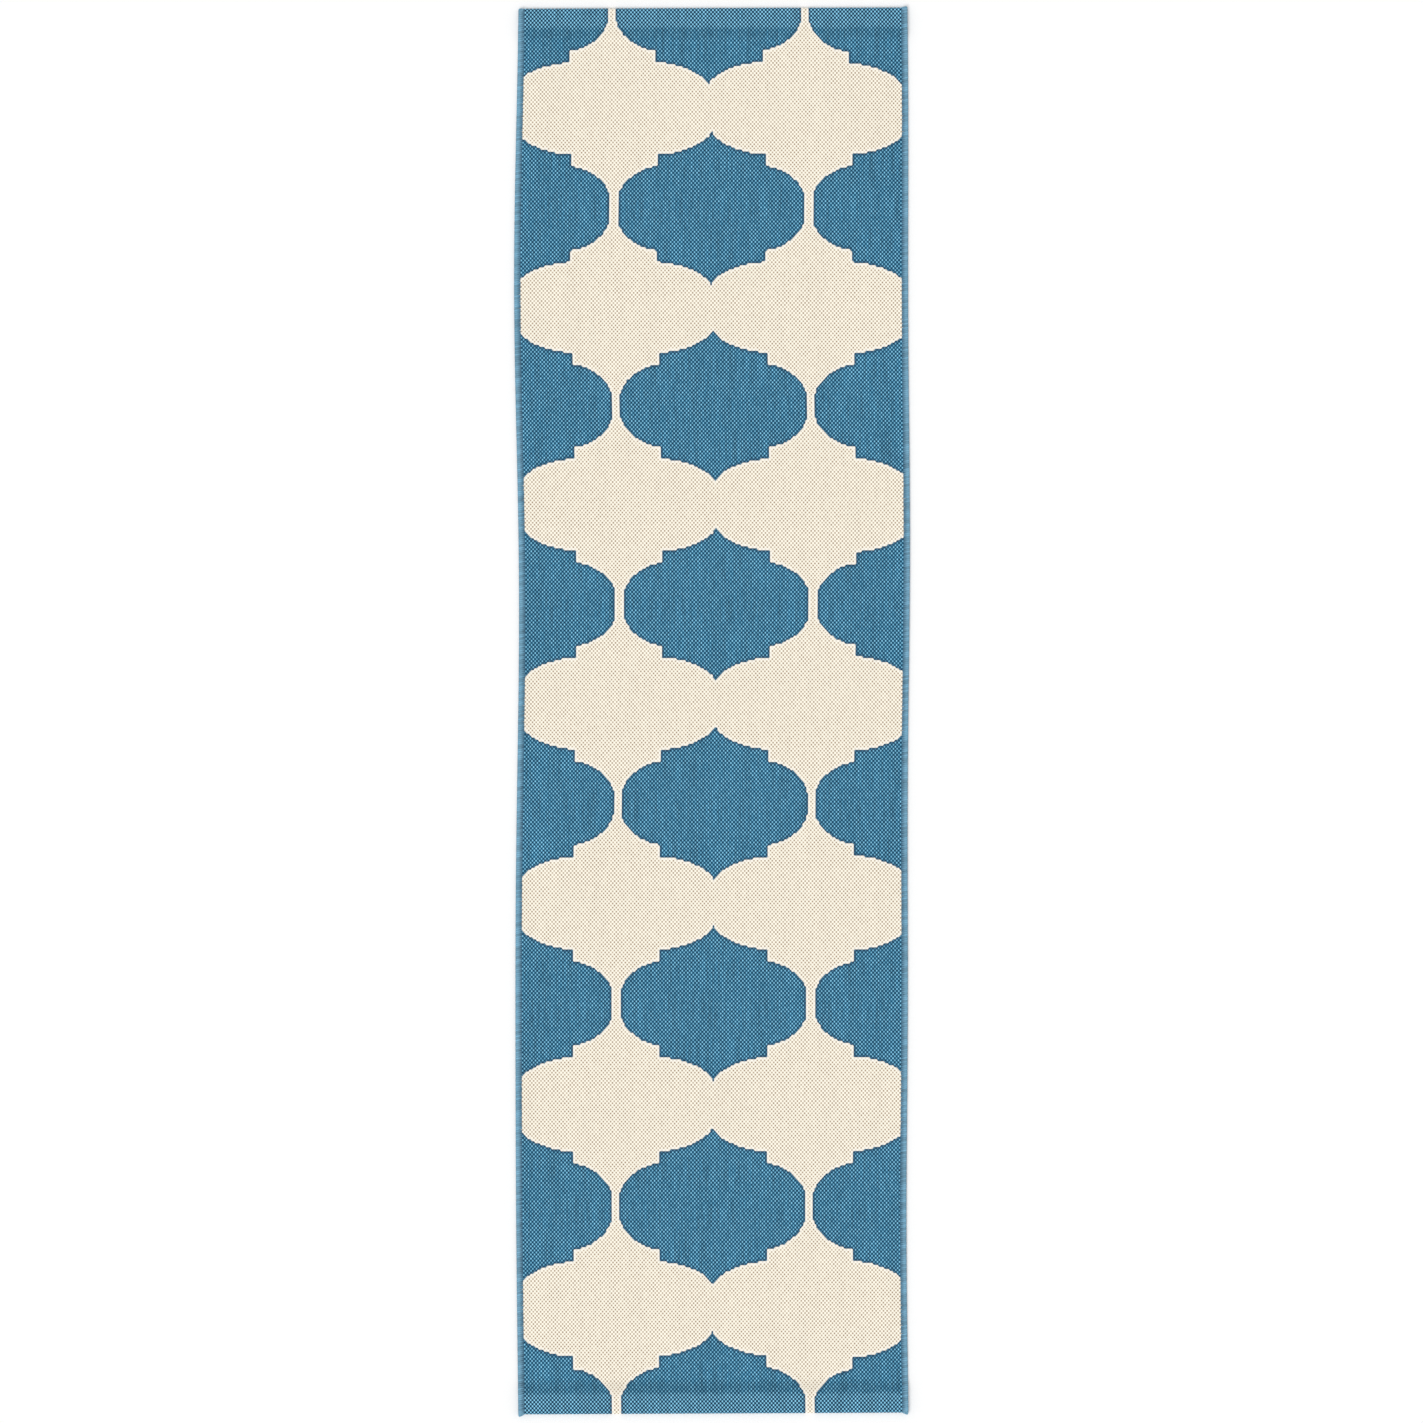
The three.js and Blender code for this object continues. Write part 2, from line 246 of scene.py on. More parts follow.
class Course:
    """The way that the cloth takes from the rug's middle to the cut end of a hem: flat, up the ramp, over
    its own turned-under end and round the fold. A distance along it is measured on top of the face yarn."""

    RAMP_STEPS = 24
    FOLD_STEPS = 24
    CLOSING = 9 * MM  # length over which the serging gathers in the turned-under end

    def __init__(self):
        radius = cad.hem_top - cad.glue_middle
        climb = np.linspace(0, 1, self.RAMP_STEPS + 1)
        turn = np.linspace(0, math.pi, self.FOLD_STEPS + 1)
        ramp_z = cad.yarn_top + cad.hem_rise * climb**2 * (3 - 2 * climb)
        ramp_y = cad.ramp_start + (cad.hem_start - cad.ramp_start) * climb
        self.y = np.concatenate([[0], ramp_y, cad.fold_axis + radius * np.sin(turn), [cad.hem_start]])
        self.z = np.concatenate([
            [cad.yarn_top], ramp_z, cad.glue_middle + radius * np.cos(turn), [cad.glue_middle - radius]])
        self.up_y = np.concatenate([[0], 0 * climb, np.sin(turn), [0]])
        self.up_z = np.concatenate([[1], 1 + 0 * climb, np.cos(turn), [-1]])
        self.along = np.concatenate([[0], np.cumsum(np.hypot(np.diff(self.y), np.diff(self.z)))])
        self.ramp_end = self.along[self.RAMP_STEPS + 1]
        self.fold_start = self.along[self.RAMP_STEPS + 2]
        self.nose = self.RAMP_STEPS + 2 + self.FOLD_STEPS // 2
        self.end = self.along[-1]

    def place(self, along, height):
        """y and z at a distance along the cloth. height is above the floor where the cloth is flat."""
        distance = np.abs(along)
        above = height - cad.yarn_top
        y = np.interp(distance, self.along, self.y) + above * np.interp(distance, self.along, self.up_y)
        z = np.interp(distance, self.along, self.z) + above * np.interp(distance, self.along, self.up_z)
        return np.sign(along) * y, z

    def top(self, y):
        """Height of the face at a place along the rug, as far as the fold's nose"""
        return np.interp(np.abs(y), self.y[: self.nose + 1], self.z[: self.nose + 1])

    def bottom(self, y):
        """Height of the lowest cloth or backcoat at a place along the rug"""
        under = 2 * cad.glue_middle - self.top(np.maximum(np.abs(y), cad.fold_axis))
        closing = np.clip((cad.hem_start - np.abs(y)) / self.CLOSING, 0, 1)
        return np.maximum(under, (self.top(y) - cad.yarn_top) * closing)


course = Course()


def wave(y, height, wave_length, start):
    return height * np.cos(2 * math.pi * y / wave_length - start)


def bowed(rug, x, y):
    """Where a point of a perfectly straight rug lies on the real one, whose edges and folds bow a little"""
    bow = rug.bow
    left = (wave(y, bow.left_short, bow.left_short_length, bow.left_short_start)
            + wave(y, bow.left_long, bow.left_long_length, bow.left_long_start))
    right = (wave(y, bow.right_short, bow.right_short_length, bow.right_short_start)
             + wave(y, bow.right_long, bow.right_long_length, bow.right_long_start))
    rightness = (x / cad.serging_outer + 1) / 2
    head = np.clip(y / cad.fold, 0, 1) ** 3
    foot = np.clip(-y / cad.fold, 0, 1) ** 3
    falling = (bow.head_skew * head + bow.foot_skew * foot) * np.clip(1 - rightness, 0, 1)
    return x + left * (1 - rightness) + right * rightness, y - falling


# ---------------------------------------------------------------- mesh tools


def only(piece):
    """Selects one object and makes it the active one"""
    bpy.ops.object.select_all(action="DESELECT")
    piece.select_set(True)
    bpy.context.view_layer.objects.active = piece


def coordinates(piece):
    flat = np.empty(len(piece.data.vertices) * 3)
    piece.data.vertices.foreach_get("co", flat)
    return flat.reshape(-1, 3)


def move_to(piece, points):
    piece.data.vertices.foreach_set("co", np.ascontiguousarray(points, dtype=np.float64).ravel())
    piece.data.update()


def write_map(piece, name, places):
    """A UV map with a place for each vertex"""
    corners = np.empty(len(piece.data.loops), dtype=np.int32)
    piece.data.loops.foreach_get("vertex_index", corners)
    layers = piece.data.uv_layers
    layer = layers.get(name) or layers.new(name=name)
    layer.data.foreach_set("uv", np.ascontiguousarray(places[corners], dtype=np.float32).ravel())


def write_attribute(piece, name, values):
    layer = piece.data.attributes.new(name, "FLOAT", "POINT")
    layer.data.foreach_set("value", np.ascontiguousarray(values, dtype=np.float32))


def new_grid(name, across, along):
    """A flat grid from -1 to 1 both ways"""
    bpy.ops.object.select_all(action="DESELECT")
    bpy.ops.mesh.primitive_grid_add(x_subdivisions=across, y_subdivisions=along, size=2)
    piece = bpy.context.object
    piece.name = piece.data.name = name
    for layer in list(piece.data.uv_layers):
        piece.data.uv_layers.remove(layer)
    return piece


def edit_mode(piece, kind):
    only(piece)
    bpy.ops.object.mode_set(mode="EDIT")
    bpy.ops.mesh.select_mode(type=kind)


def face_outwards():
    bpy.ops.mesh.select_all(action="SELECT")
    bpy.ops.mesh.normals_make_consistent(inside=False)
    bpy.ops.object.mode_set(mode="OBJECT")


def thicken(piece, thickness):
    """Gives a flat sheet its underside, a copy of its upper side"""
    edit_mode(piece, "FACE")
    bpy.ops.mesh.select_all(action="SELECT")
    bpy.ops.mesh.extrude_region_move(TRANSFORM_OT_translate={"value": (0, 0, -thickness)})
    face_outwards()


def wall_and_floor(piece, thickness):
    """Gives a flat sheet walls and one flat face as its underside"""
    edit_mode(piece, "EDGE")
    bpy.ops.mesh.select_all(action="DESELECT")
    bpy.ops.mesh.select_non_manifold()
    bpy.ops.mesh.extrude_edges_move(TRANSFORM_OT_translate={"value": (0, 0, -thickness)})
    bpy.ops.mesh.edge_face_add()
    face_outwards()


def smooth(piece, degrees=50):
    only(piece)
    bpy.ops.object.shade_smooth_by_angle(angle=math.radians(degrees))


def finish_piece(piece, slot, material, *nodes):
    piece.data.materials.clear()
    piece.data.materials.append(material)
    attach(piece, "root")
    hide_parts(*nodes)


# ---------------------------------------------------------------- shader tools


class Graph:
    """Adds nodes to a tree, with a socket or a number for each input"""

    def __init__(self, tree):
        self.tree = tree

    def add(self, kind, inputs=(), **settings):
        node = self.tree.nodes.new(kind)
        for key, value in settings.items():
            setattr(node, key, value)
        for key, value in dict(inputs).items():
            if isinstance(value, bpy.types.NodeSocket):
                self.tree.links.new(value, node.inputs[key])
            else:
                node.inputs[key].default_value = value
        return node

    def math(self, operation, *values, clamp=False):
        node = self.add("ShaderNodeMath", enumerate(values), operation=operation, use_clamp=clamp)
        return node.outputs[0]

    def vary(self, value, mask, amount, middle=0.0, clamp=False):
        """A value that grows by the amount for each step of 1 that a mask stands over its middle"""
        over = self.math("SUBTRACT", mask, middle) if middle else mask
        return self.math("MULTIPLY_ADD", over, amount, value, clamp=clamp)

    def between(self, value, low, high):
        """A soft step from 0 to 1 while the value goes from low to high"""
        inputs = {"Value": value, "From Min": low, "From Max": high}
        return self.add("ShaderNodeMapRange", inputs, interpolation_type="SMOOTHSTEP").outputs["Result"]

    def mix(self, factor, first, second, blend="MIX"):
        node = self.add("ShaderNodeMix", data_type="RGBA", blend_type=blend)
        for key, value in (("Factor_Float", factor), ("A_Color", first), ("B_Color", second)):
            socket = next(s for s in node.inputs if s.identifier == key)
            if isinstance(value, bpy.types.NodeSocket):
                self.tree.links.new(value, socket)
            else:
                socket.default_value = value
        return next(s for s in node.outputs if s.identifier == "Result_Color")

    def ramp(self, factor, stops):
        """A colour for each place from 0 to 1"""
        node = self.add("ShaderNodeValToRGB", {"Fac": factor})
        elements = node.color_ramp.elements
        while len(elements) < len(stops):
            elements.new(1)
        for element, (place, tint) in zip(elements, stops):
            element.position = place
            element.color = tint
        return node.outputs["Color"]

    def brightness(self, tint, value):
        return self.add("ShaderNodeHueSaturation", {"Value": value, "Color": tint}).outputs["Color"]

    def noise(self, place, scale, detail=2.0):
        inputs = {"Vector": place, "Scale": scale, "Detail": detail}
        return self.add("ShaderNodeTexNoise", inputs).outputs["Fac"]

    def stretched(self, place, scale):
        node = self.add("ShaderNodeMapping", {"Vector": place}, vector_type="TEXTURE")
        node.inputs["Scale"].default_value = scale
        return node.outputs["Vector"]

    def counted(self, place, width, length):
        """A place counted in widths across and in lengths along"""
        parts = self.add("ShaderNodeSeparateXYZ", {0: place}).outputs
        across, along = self.math("DIVIDE", parts["X"], width), self.math("DIVIDE", parts["Y"], length)
        return self.add("ShaderNodeCombineXYZ", {0: across, 1: along}).outputs[0]


def new_group(name, inputs, outputs):
    """An empty shader group. inputs has a kind and default for each name, outputs a kind."""
    tree = bpy.data.node_groups.new(name, "ShaderNodeTree")
    for label, (kind, default) in inputs.items():
        socket = tree.interface.new_socket(name=label, in_out="INPUT", socket_type=kind)
        if default is not None:
            socket.default_value = default
    for label, kind in outputs.items():
        tree.interface.new_socket(name=label, in_out="OUTPUT", socket_type=kind)
    graph = Graph(tree)
    return graph, graph.add("NodeGroupInput").outputs, graph.add("NodeGroupOutput").inputs


def once(build):
    """Builds a group or material the first time that it is asked for"""
    name = build.__name__.replace("_", " ")

    def found(*arguments):
        for store in (bpy.data.node_groups, bpy.data.materials):
            if name in store:
                return store[name]
        return build(name, *arguments)

    return found


FLOAT_POWER = 0.6  # under 1 makes a float fuller along the yarn than across it


@once
def weave_cells(name):
    """Crown is 1 on top of a float and -1 in the hole beside it. Yarn is 1 along the middle of a column of
    yarn and 0 between two columns. Cell differs from float to float."""
    graph, given, made = new_group(
        name,
        {"Weave": ("NodeSocketVector", None), "Column Pitch": ("NodeSocketFloat", 3.2 * MM),
         "Row Pitch": ("NodeSocketFloat", 3.5 * MM)},
        {"Crown": "NodeSocketFloat", "Yarn": "NodeSocketFloat", "Cell": "NodeSocketFloat"})
    place = graph.add("ShaderNodeSeparateXYZ", {0: given["Weave"]}).outputs
    column = graph.math("DIVIDE", place["X"], given["Column Pitch"])
    row = graph.math("DIVIDE", place["Y"], given["Row Pitch"])
    across, along = (graph.math("COSINE", graph.math("MULTIPLY", cell, math.pi)) for cell in (column, row))
    full = graph.math("POWER", graph.math("ABSOLUTE", along), FLOAT_POWER)
    floating = graph.math("MULTIPLY", full, graph.math("SIGN", along))
    number = graph.add("ShaderNodeCombineXYZ", {
        0: graph.math("ROUND", column), 1: graph.math("ROUND", row)}).outputs[0]
    noise = graph.add("ShaderNodeTexWhiteNoise", {"Vector": number}, noise_dimensions="3D")
    graph.tree.links.new(graph.math("MULTIPLY", across, floating), made["Crown"])
    graph.tree.links.new(graph.math("ABSOLUTE", across), made["Yarn"])
    graph.tree.links.new(noise.outputs["Value"], made["Cell"])
    return graph.tree


@once
def yarn_streaks(name):
    """Streaks that run with the yarn, from -1 to 1, as its dye and tension change"""
    graph, given, made = new_group(
        name,
        {"Weave": ("NodeSocketVector", None), "Width": ("NodeSocketFloat", 3 * MM),
         "Length": ("NodeSocketFloat", 100 * MM)},
        {"Streak": "NodeSocketFloat"})
    place = graph.counted(given["Weave"], given["Width"], given["Length"])
    streak = graph.math("MULTIPLY_ADD", graph.noise(place, 1.0, 1.0), 4.0, -2.0)
    limited = graph.math("MAXIMUM", graph.math("MINIMUM", streak, 1.0), -1.0)
    graph.tree.links.new(limited, made["Streak"])
    return graph.tree


@once
def hem_places(name):
    """Ramp is 1 where the cloth climbs onto its hem, and Raised is 1 on the hem and round the fold"""
    graph, given, made = new_group(
        name,
        {"Weave": ("NodeSocketVector", None), "Ramp Start": ("NodeSocketFloat", 1.0),
         "Ramp End": ("NodeSocketFloat", 1.1), "Softness": ("NodeSocketFloat", 5 * MM)},
        {"Ramp": "NodeSocketFloat", "Raised": "NodeSocketFloat"})
    place = graph.add("ShaderNodeSeparateXYZ", {0: given["Weave"]}).outputs
    distance = graph.math("ABSOLUTE", place["Y"])
    after_start = graph.math("SUBTRACT", distance, given["Ramp Start"])
    after_end = graph.math("SUBTRACT", distance, given["Ramp End"])
    soft = given["Softness"]
    climbed = graph.between(after_start, 0.0, graph.math("MULTIPLY", soft, 3.0))
    raised = graph.between(after_end, graph.math("MULTIPLY", soft, -1.0), soft)
    graph.tree.links.new(graph.math("SUBTRACT", climbed, raised, clamp=True), made["Ramp"])
    graph.tree.links.new(raised, made["Raised"])
    return graph.tree


@once
def yarn_fibres(name):
    """Fine fibres along the second direction of a place. Fibre is from 0 to 1."""
    graph, given, made = new_group(
        name,
        {"Place": ("NodeSocketVector", None), "Width": ("NodeSocketFloat", 0.25 * MM),
         "Length": ("NodeSocketFloat", 2.5 * MM)},
        {"Fibre": "NodeSocketFloat"})
    place = graph.counted(given["Place"], given["Width"], given["Length"])
    graph.tree.links.new(graph.noise(place, 1.0, 3.0), made["Fibre"])
    return graph.tree


def new_material(name):
    material = bpy.data.materials.new(name)
    material.use_nodes = True
    material.node_tree.nodes.clear()
    return material, Graph(material.node_tree)


def surface(graph, tint, roughness, height, depth, **fixed):
    """The shader itself, with a bump of the given depth in metres"""
    bump = graph.add("ShaderNodeBump", {"Height": height, "Strength": 1.0, "Distance": depth})
    inputs = {"Base Color": tint, "Roughness": roughness, "Normal": bump.outputs["Normal"]}
    shader = graph.add("ShaderNodeBsdfPrincipled", inputs)
    for key, value in fixed.items():
        shader.inputs[key.replace("_", " ")].default_value = value
    leave = graph.add("ShaderNodeOutputMaterial")
    graph.tree.links.new(shader.outputs["BSDF"], leave.inputs["Surface"])


def placed_group(graph, tree, **inputs):
    """A group in a material, with its inputs given by name"""
    node = graph.add("ShaderNodeGroup", node_tree=tree)
    for key, value in inputs.items():
        socket = node.inputs[key.replace("_", " ")]
        if isinstance(value, bpy.types.NodeSocket):
            graph.tree.links.new(value, socket)
        else:
            socket.default_value = value
    return node.outputs


def placed_cells(graph, weave, place):
    return placed_group(
        graph, weave_cells(), Weave=place, Column_Pitch=weave.pitch_x, Row_Pitch=weave.pitch_y)


def opaque(tint):
    return (*tint, 1.0)


FINE_STREAK = {"Width": 2.6 * MM, "Length": 70 * MM}
BROAD_STREAK = {"Width": 26 * MM, "Length": 420 * MM}
MEAN_YARN = 0.6  # about the mean of the Yarn mask, so that the ribs keep the mean brightness

# contrast is how far the yarn goes towards its crown and gap colours, that is how strong its painted light
# and shade are. hem_contrast, ramp_loss and rim_loss change it there, and cell_contrast from float to float.
# body_place is where the body colour lies between the gap's, 0, and the crown's, 1. rim is the share of the
# rim colour. The rest are shares of brightness; of these, rib is painted shade between two columns, and the
# ramp's share is painted shade where the cloth climbs onto its hem.
BLUE_LOOK = SimpleNamespace(
    contrast=0.95, hem_contrast=0.75, ramp_loss=0.05, rim_loss=0.2, cell_contrast=0.5, body_place=0.52,
    rim=0.6, fine_streak=0.22, broad_streak=0.07, fibre=1.0, rib=0.3, ramp_shade=0.13)
CREAM_LOOK = SimpleNamespace(
    contrast=1.1, hem_contrast=0.1, ramp_loss=0.1, rim_loss=0.0, cell_contrast=0.45, body_place=0.48,
    rim=0.6, fine_streak=0.03, broad_streak=0.012, fibre=0.35, rib=0.08, ramp_shade=0.05)


def face_yarn_material(weave, name, tints, look):
    """Yarn on top of the cloth. tints are its crown, body, gap and rim colours. The crown, body and gap
    colours are the yarn's tone with painted light and shade: lightest on top of a float, darker down its
    side and painted shade in the hole between floats.
    """
    material, graph = new_material(name)
    crown_tint, body_tint, gap_painted_shade_tint, rim_tint = (opaque(tint) for tint in tints)
    place = graph.add("ShaderNodeUVMap", uv_map="weave").outputs["UV"]
    rim = graph.add("ShaderNodeAttribute", attribute_name="rim").outputs["Fac"]
    cells = placed_cells(graph, weave, place)
    fine = placed_group(graph, yarn_streaks(), Weave=place, **FINE_STREAK)["Streak"]
    broad = placed_group(graph, yarn_streaks(), Weave=place, **BROAD_STREAK)["Streak"]
    hem = placed_group(
        graph, hem_places(), Weave=place, Ramp_Start=cad.ramp_start, Ramp_End=course.ramp_end)
    fibre = placed_group(graph, yarn_fibres(), Place=place)["Fibre"]

    contrast = graph.vary(look.contrast, hem["Raised"], look.hem_contrast)
    contrast = graph.vary(contrast, hem["Ramp"], -look.ramp_loss)
    contrast = graph.vary(contrast, rim, -look.rim_loss)
    uneven = graph.vary(1.0, cells["Cell"], look.cell_contrast, middle=0.5)
    # tone goes from the gap's painted shade, 0, to the crown's painted light, 1
    tone = graph.math("MULTIPLY", graph.math("MULTIPLY", cells["Crown"], uneven), contrast)
    tone = graph.vary(0.5, tone, 0.5, clamp=True)
    tint = graph.ramp(tone, [(0.0, gap_painted_shade_tint), (look.body_place, body_tint), (1.0, crown_tint)])
    tint = graph.mix(graph.math("MULTIPLY", rim, look.rim, clamp=True), tint, rim_tint)

    value = graph.vary(1.0, fine, look.fine_streak)
    value = graph.vary(value, broad, look.broad_streak)
    value = graph.vary(value, fibre, look.fibre, middle=0.5)
    # painted shade: darker between two columns of yarn, lighter along their middles
    value = graph.vary(value, cells["Yarn"], look.rib, middle=MEAN_YARN)
    # painted shade where the cloth climbs onto its hem
    value = graph.vary(value, hem["Ramp"], -look.ramp_shade)
    roughness = graph.vary(0.7, fibre, 0.2, clamp=True)
    surface(graph, graph.brightness(tint, value), roughness, fibre, 0.12 * MM,
            Specular_IOR_Level=0.25, Sheen_Weight=0.08, Sheen_Roughness=0.5)
    return material


SERGING_FIBRE = {"Width": 0.3 * MM, "Length": 5 * MM}
SERGING_BLOTCH = (60 * MM, 6 * MM, 1)
SERGING_LOOK = SimpleNamespace(fibre=1.0, wrap=0.42, blotch=0.3)  # shares of the brightness


@once
def serging_yarn(name, rug):
    """The wraps' map runs along the yarn in x and across it in y, both in metres"""
    material, graph = new_material(name)
    place = graph.add("ShaderNodeUVMap", uv_map="yarn").outputs["UV"]
    # painted shade on the wraps' sides, where they go into the cloth and at the rug's edge, and between the
    # locks' ridges
    crease = graph.add("ShaderNodeAttribute", attribute_name="crease").outputs["Fac"]
    wrap = graph.add("ShaderNodeAttribute", attribute_name="wrap").outputs["Fac"]
    parts = graph.add("ShaderNodeSeparateXYZ", {0: place}).outputs
    turned = graph.add("ShaderNodeCombineXYZ", {0: parts["Y"], 1: parts["X"]}).outputs[0]
    fibre = placed_group(graph, yarn_fibres(), Place=turned, **SERGING_FIBRE)["Fibre"]
    blotch = graph.noise(graph.stretched(turned, SERGING_BLOTCH), 1.0)
    tint = graph.mix(crease, opaque(rug.colours.serging), opaque(rug.colours.serging_crease))
    value = graph.vary(1.0, fibre, SERGING_LOOK.fibre, middle=0.5)
    value = graph.vary(value, wrap, SERGING_LOOK.wrap, middle=0.5)
    value = graph.vary(value, blotch, SERGING_LOOK.blotch, middle=0.5)
    roughness = graph.vary(0.55, fibre, 0.2, clamp=True)
    surface(graph, graph.brightness(tint, value), roughness, fibre, 0.15 * MM,
            Specular_IOR_Level=0.35, Sheen_Weight=0.1, Sheen_Roughness=0.4)
    return material


@once
def ground_yarn(name, rug, weave):
    material, graph = new_material(name)
    place = graph.add("ShaderNodeUVMap", uv_map="weave").outputs["UV"]
    cells = placed_cells(graph, weave, place)
    fibre = placed_group(graph, yarn_fibres(), Place=place)["Fibre"]
    # painted shade between the yarns, lighter on their tops
    tone = graph.vary(0.5, cells["Crown"], 0.5, clamp=True)
    tint = graph.mix(tone, opaque(rug.colours.ground_gap), opaque(rug.colours.ground))
    value = graph.vary(1.0, fibre, 0.3, middle=0.5)
    height = graph.vary(tone, fibre, 0.2)
    surface(graph, graph.brightness(tint, value), 0.9, height, 0.3 * MM, Specular_IOR_Level=0.2)
    return material


@once
def latex_backing(name, rug, weave):
    """Latex backcoat, darker in the cloth's hollows as painted shade, so that the weave shows through it"""
    material, graph = new_material(name)
    place = graph.add("ShaderNodeUVMap", uv_map="weave").outputs["UV"]
    cells = placed_cells(graph, weave, place)
    mottle = graph.noise(place, 22.0, 4.0)
    pores = graph.noise(place, 900.0, 2.0)
    # painted shade in the cloth's hollows, with mottle
    tone = graph.vary(0.5, cells["Crown"], -0.45)
    tone = graph.vary(tone, mottle, 1.6, middle=0.5, clamp=True)
    tint = graph.mix(tone, opaque(rug.colours.latex_low), opaque(rug.colours.latex))
    value = graph.vary(1.0, pores, 0.25, middle=0.5)
    height = graph.vary(cells["Crown"], pores, 0.3)
    roughness = graph.vary(0.42, mottle, 0.35, clamp=True)
    surface(graph, graph.brightness(tint, value), roughness, height, 0.18 * MM, Specular_IOR_Level=0.4)
    return material


@once
def hem_glue(name, rug):
    material, graph = new_material(name)
    place = graph.add("ShaderNodeTexCoord").outputs["Object"]
    clouds = graph.noise(place, 60.0, 3.0)
    bubbles = graph.add("ShaderNodeTexVoronoi", {"Vector": place, "Scale": 500.0}).outputs["Distance"]
    tint = graph.brightness(opaque(rug.colours.glue), graph.vary(0.75, clouds, 0.4))
    roughness = graph.vary(0.25, clouds, 0.3, clamp=True)
    surface(graph, tint, roughness, bubbles, 0.1 * MM, Specular_IOR_Level=0.5)
    return material


@once
def floor_paint(name, rug):
    material, graph = new_material(name)
    place = graph.add("ShaderNodeTexCoord").outputs["Object"]
    grain = graph.noise(place, 40.0, 3.0)
    tint = graph.brightness(opaque(rug.colours.floor), graph.vary(0.995, grain, 0.01))
    surface(graph, tint, 0.9, grain, 0.02 * MM, Specular_IOR_Level=0.0)
    return material


# ---------------------------------------------------------------- the weave and its pattern


class Weave:
    """The rug's weave, with the number of the figure that each cell shows, or 0 for cream"""

    def __init__(self, rug):
        self.columns = 2 * math.floor(cad.cloth_half_width / rug.weave.column_pitch) + 1
        self.rows = 2 * math.floor(course.end / rug.weave.row_pitch) + 1
        self.pitch_x = 2 * cad.cloth_half_width / self.columns
        self.pitch_y = 2 * course.end / self.rows
        self.x = (np.arange(self.columns) + 0.5 - self.columns / 2) * self.pitch_x
        self.along = (np.arange(self.rows) + 0.5 - self.rows / 2) * self.pitch_y
        self.y = course.place(self.along, cad.yarn_top)[0]
        self.names = [None]
        self.figures = np.zeros((self.rows, self.columns), dtype=int)
        for column in COLUMNS:
            for row in range(len(ROWS)):
                self.add_figure(rug.figure, column, row)
        random = np.random.default_rng(rug.weave.seed)
        uneven = random.random((self.rows, self.columns)) - 0.5
        self.fullness = 1 + rug.weave.unevenness * 2 * uneven

    def add_figure(self, sizes, column, row):
        node = f"blue_figure_{column}_{ROWS[row]}"
        x, y, stretch = figure_place(sizes, node, column, row)
        upwards = self.y[:, None] - y
        more = further(sizes, column, row)
        up, down = (more, 0) if row == LAST_ROW else (0, more)
        along = np.maximum(upwards - up, -upwards - down)
        inside = figure_covers(sizes, np.abs(self.x[None, :] - x), along / stretch)
        self.names.append(f"{column}_{ROWS[row]}")
        self.figures[without_corner_touches(inside)] = len(self.names) - 1

    def row_at(self, y):
        """The first row of cells past a place on the flat part"""
        return round(y / self.pitch_y + self.rows / 2)


def figure_place(sizes, node, column, row):
    """A figure's middle, and how much longer it is than a head figure"""
    low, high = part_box(node)
    reach = sizes.half_width - sizes.space / 2
    x = {"left": high.x - reach, "middle": (low.x + high.x) / 2, "right": low.x + reach}[column]
    if row == 0:
        return x, low.y + sizes.tip, 1.0
    if row == LAST_ROW:
        return x, high.y - sizes.tip * (1 + sizes.growth), 1 + sizes.growth
    return x, (low.y + high.y) / 2, (high.y - low.y) / 2 / sizes.tip


def further(sizes, column, row):
    """How much further a figure reaches than the frame's: down, or up for a foot figure"""
    if row in (0, LAST_ROW):
        return getattr(sizes, f"more_{column}_{ROWS[row]}")
    return {1: sizes.more_first, LAST_ROW - 1: sizes.more_last}.get(row, 0.0)


def figure_covers(sizes, across, along):
    """Whether a place, given by its distances from a figure's middle, lies inside its outline"""
    neck = np.clip(1 - across / sizes.shoulder, 0, 1)
    belly = np.clip((across - sizes.shoulder) / (sizes.half_width - sizes.shoulder), 0, 1)
    arc = (1 - neck**sizes.concave) ** (1 / sizes.concave)
    upper = sizes.tip + sizes.point - (sizes.tip + sizes.point - sizes.shoulder_high) * arc
    arc = (1 - belly**sizes.convex) ** (1 / sizes.convex)
    lower = sizes.side + (sizes.shoulder_low - sizes.side) * arc
    edge = np.where(across < sizes.shoulder, upper, lower)
    return (across < sizes.half_width) & (along < edge)


def without_corner_touches(cells):
    """Fills up cells that would touch others at a corner only"""
    cells = cells.copy()
    while True:
        low_left, low_right = cells[:-1, :-1], cells[:-1, 1:]
        high_left, high_right = cells[1:, :-1], cells[1:, 1:]
        rising = low_left & high_right & ~low_right & ~high_left
        falling = low_right & high_left & ~low_left & ~high_right
        rows, columns = np.nonzero(rising | falling)
        if not len(rows):
            return cells
        cells[rows, columns] = True
        cells[rows + 1, columns] = True


# ---------------------------------------------------------------- face yarn


PRESS_WIDTH = 3 * MM  # over which the cloth goes down under the serging
EDGE_PRESS = 1 / 3  # how much further it goes down at its very edge, as a share of the squeeze


def half_cell_quads(cells):
    """Each cell as four quads, with a margin of one quad all round that repeats the outermost ones"""
    return np.pad(np.kron(cells, np.ones((2, 2), dtype=bool)), 1, mode="edge")


def outline_of(quads, inset, rounding):
    """For each vertex of the half-cell grid: whether the yarn ends there, and how far it is moved in metres
    across and along, which leaves the inset and rounds the steps"""
    quads = quads.astype(float)
    low_left, low_right = quads[:-1, :-1], quads[:-1, 1:]
    high_left, high_right = quads[1:, :-1], quads[1:, 1:]
    count = low_left + low_right + high_left + high_right
    ends = (count > 0) & (count < 4)
    inward_x = (low_right + high_right - low_left - high_left) / np.maximum(count, 1)
    inward_y = (high_left + high_right - low_left - low_right) / np.maximum(count, 1)
    corner = np.where(count == 1, rounding, 0) - np.where(count == 3, 3 * rounding, 0)
    return ends, inward_x * ends * (inset + corner), inward_y * ends * (inset + corner)


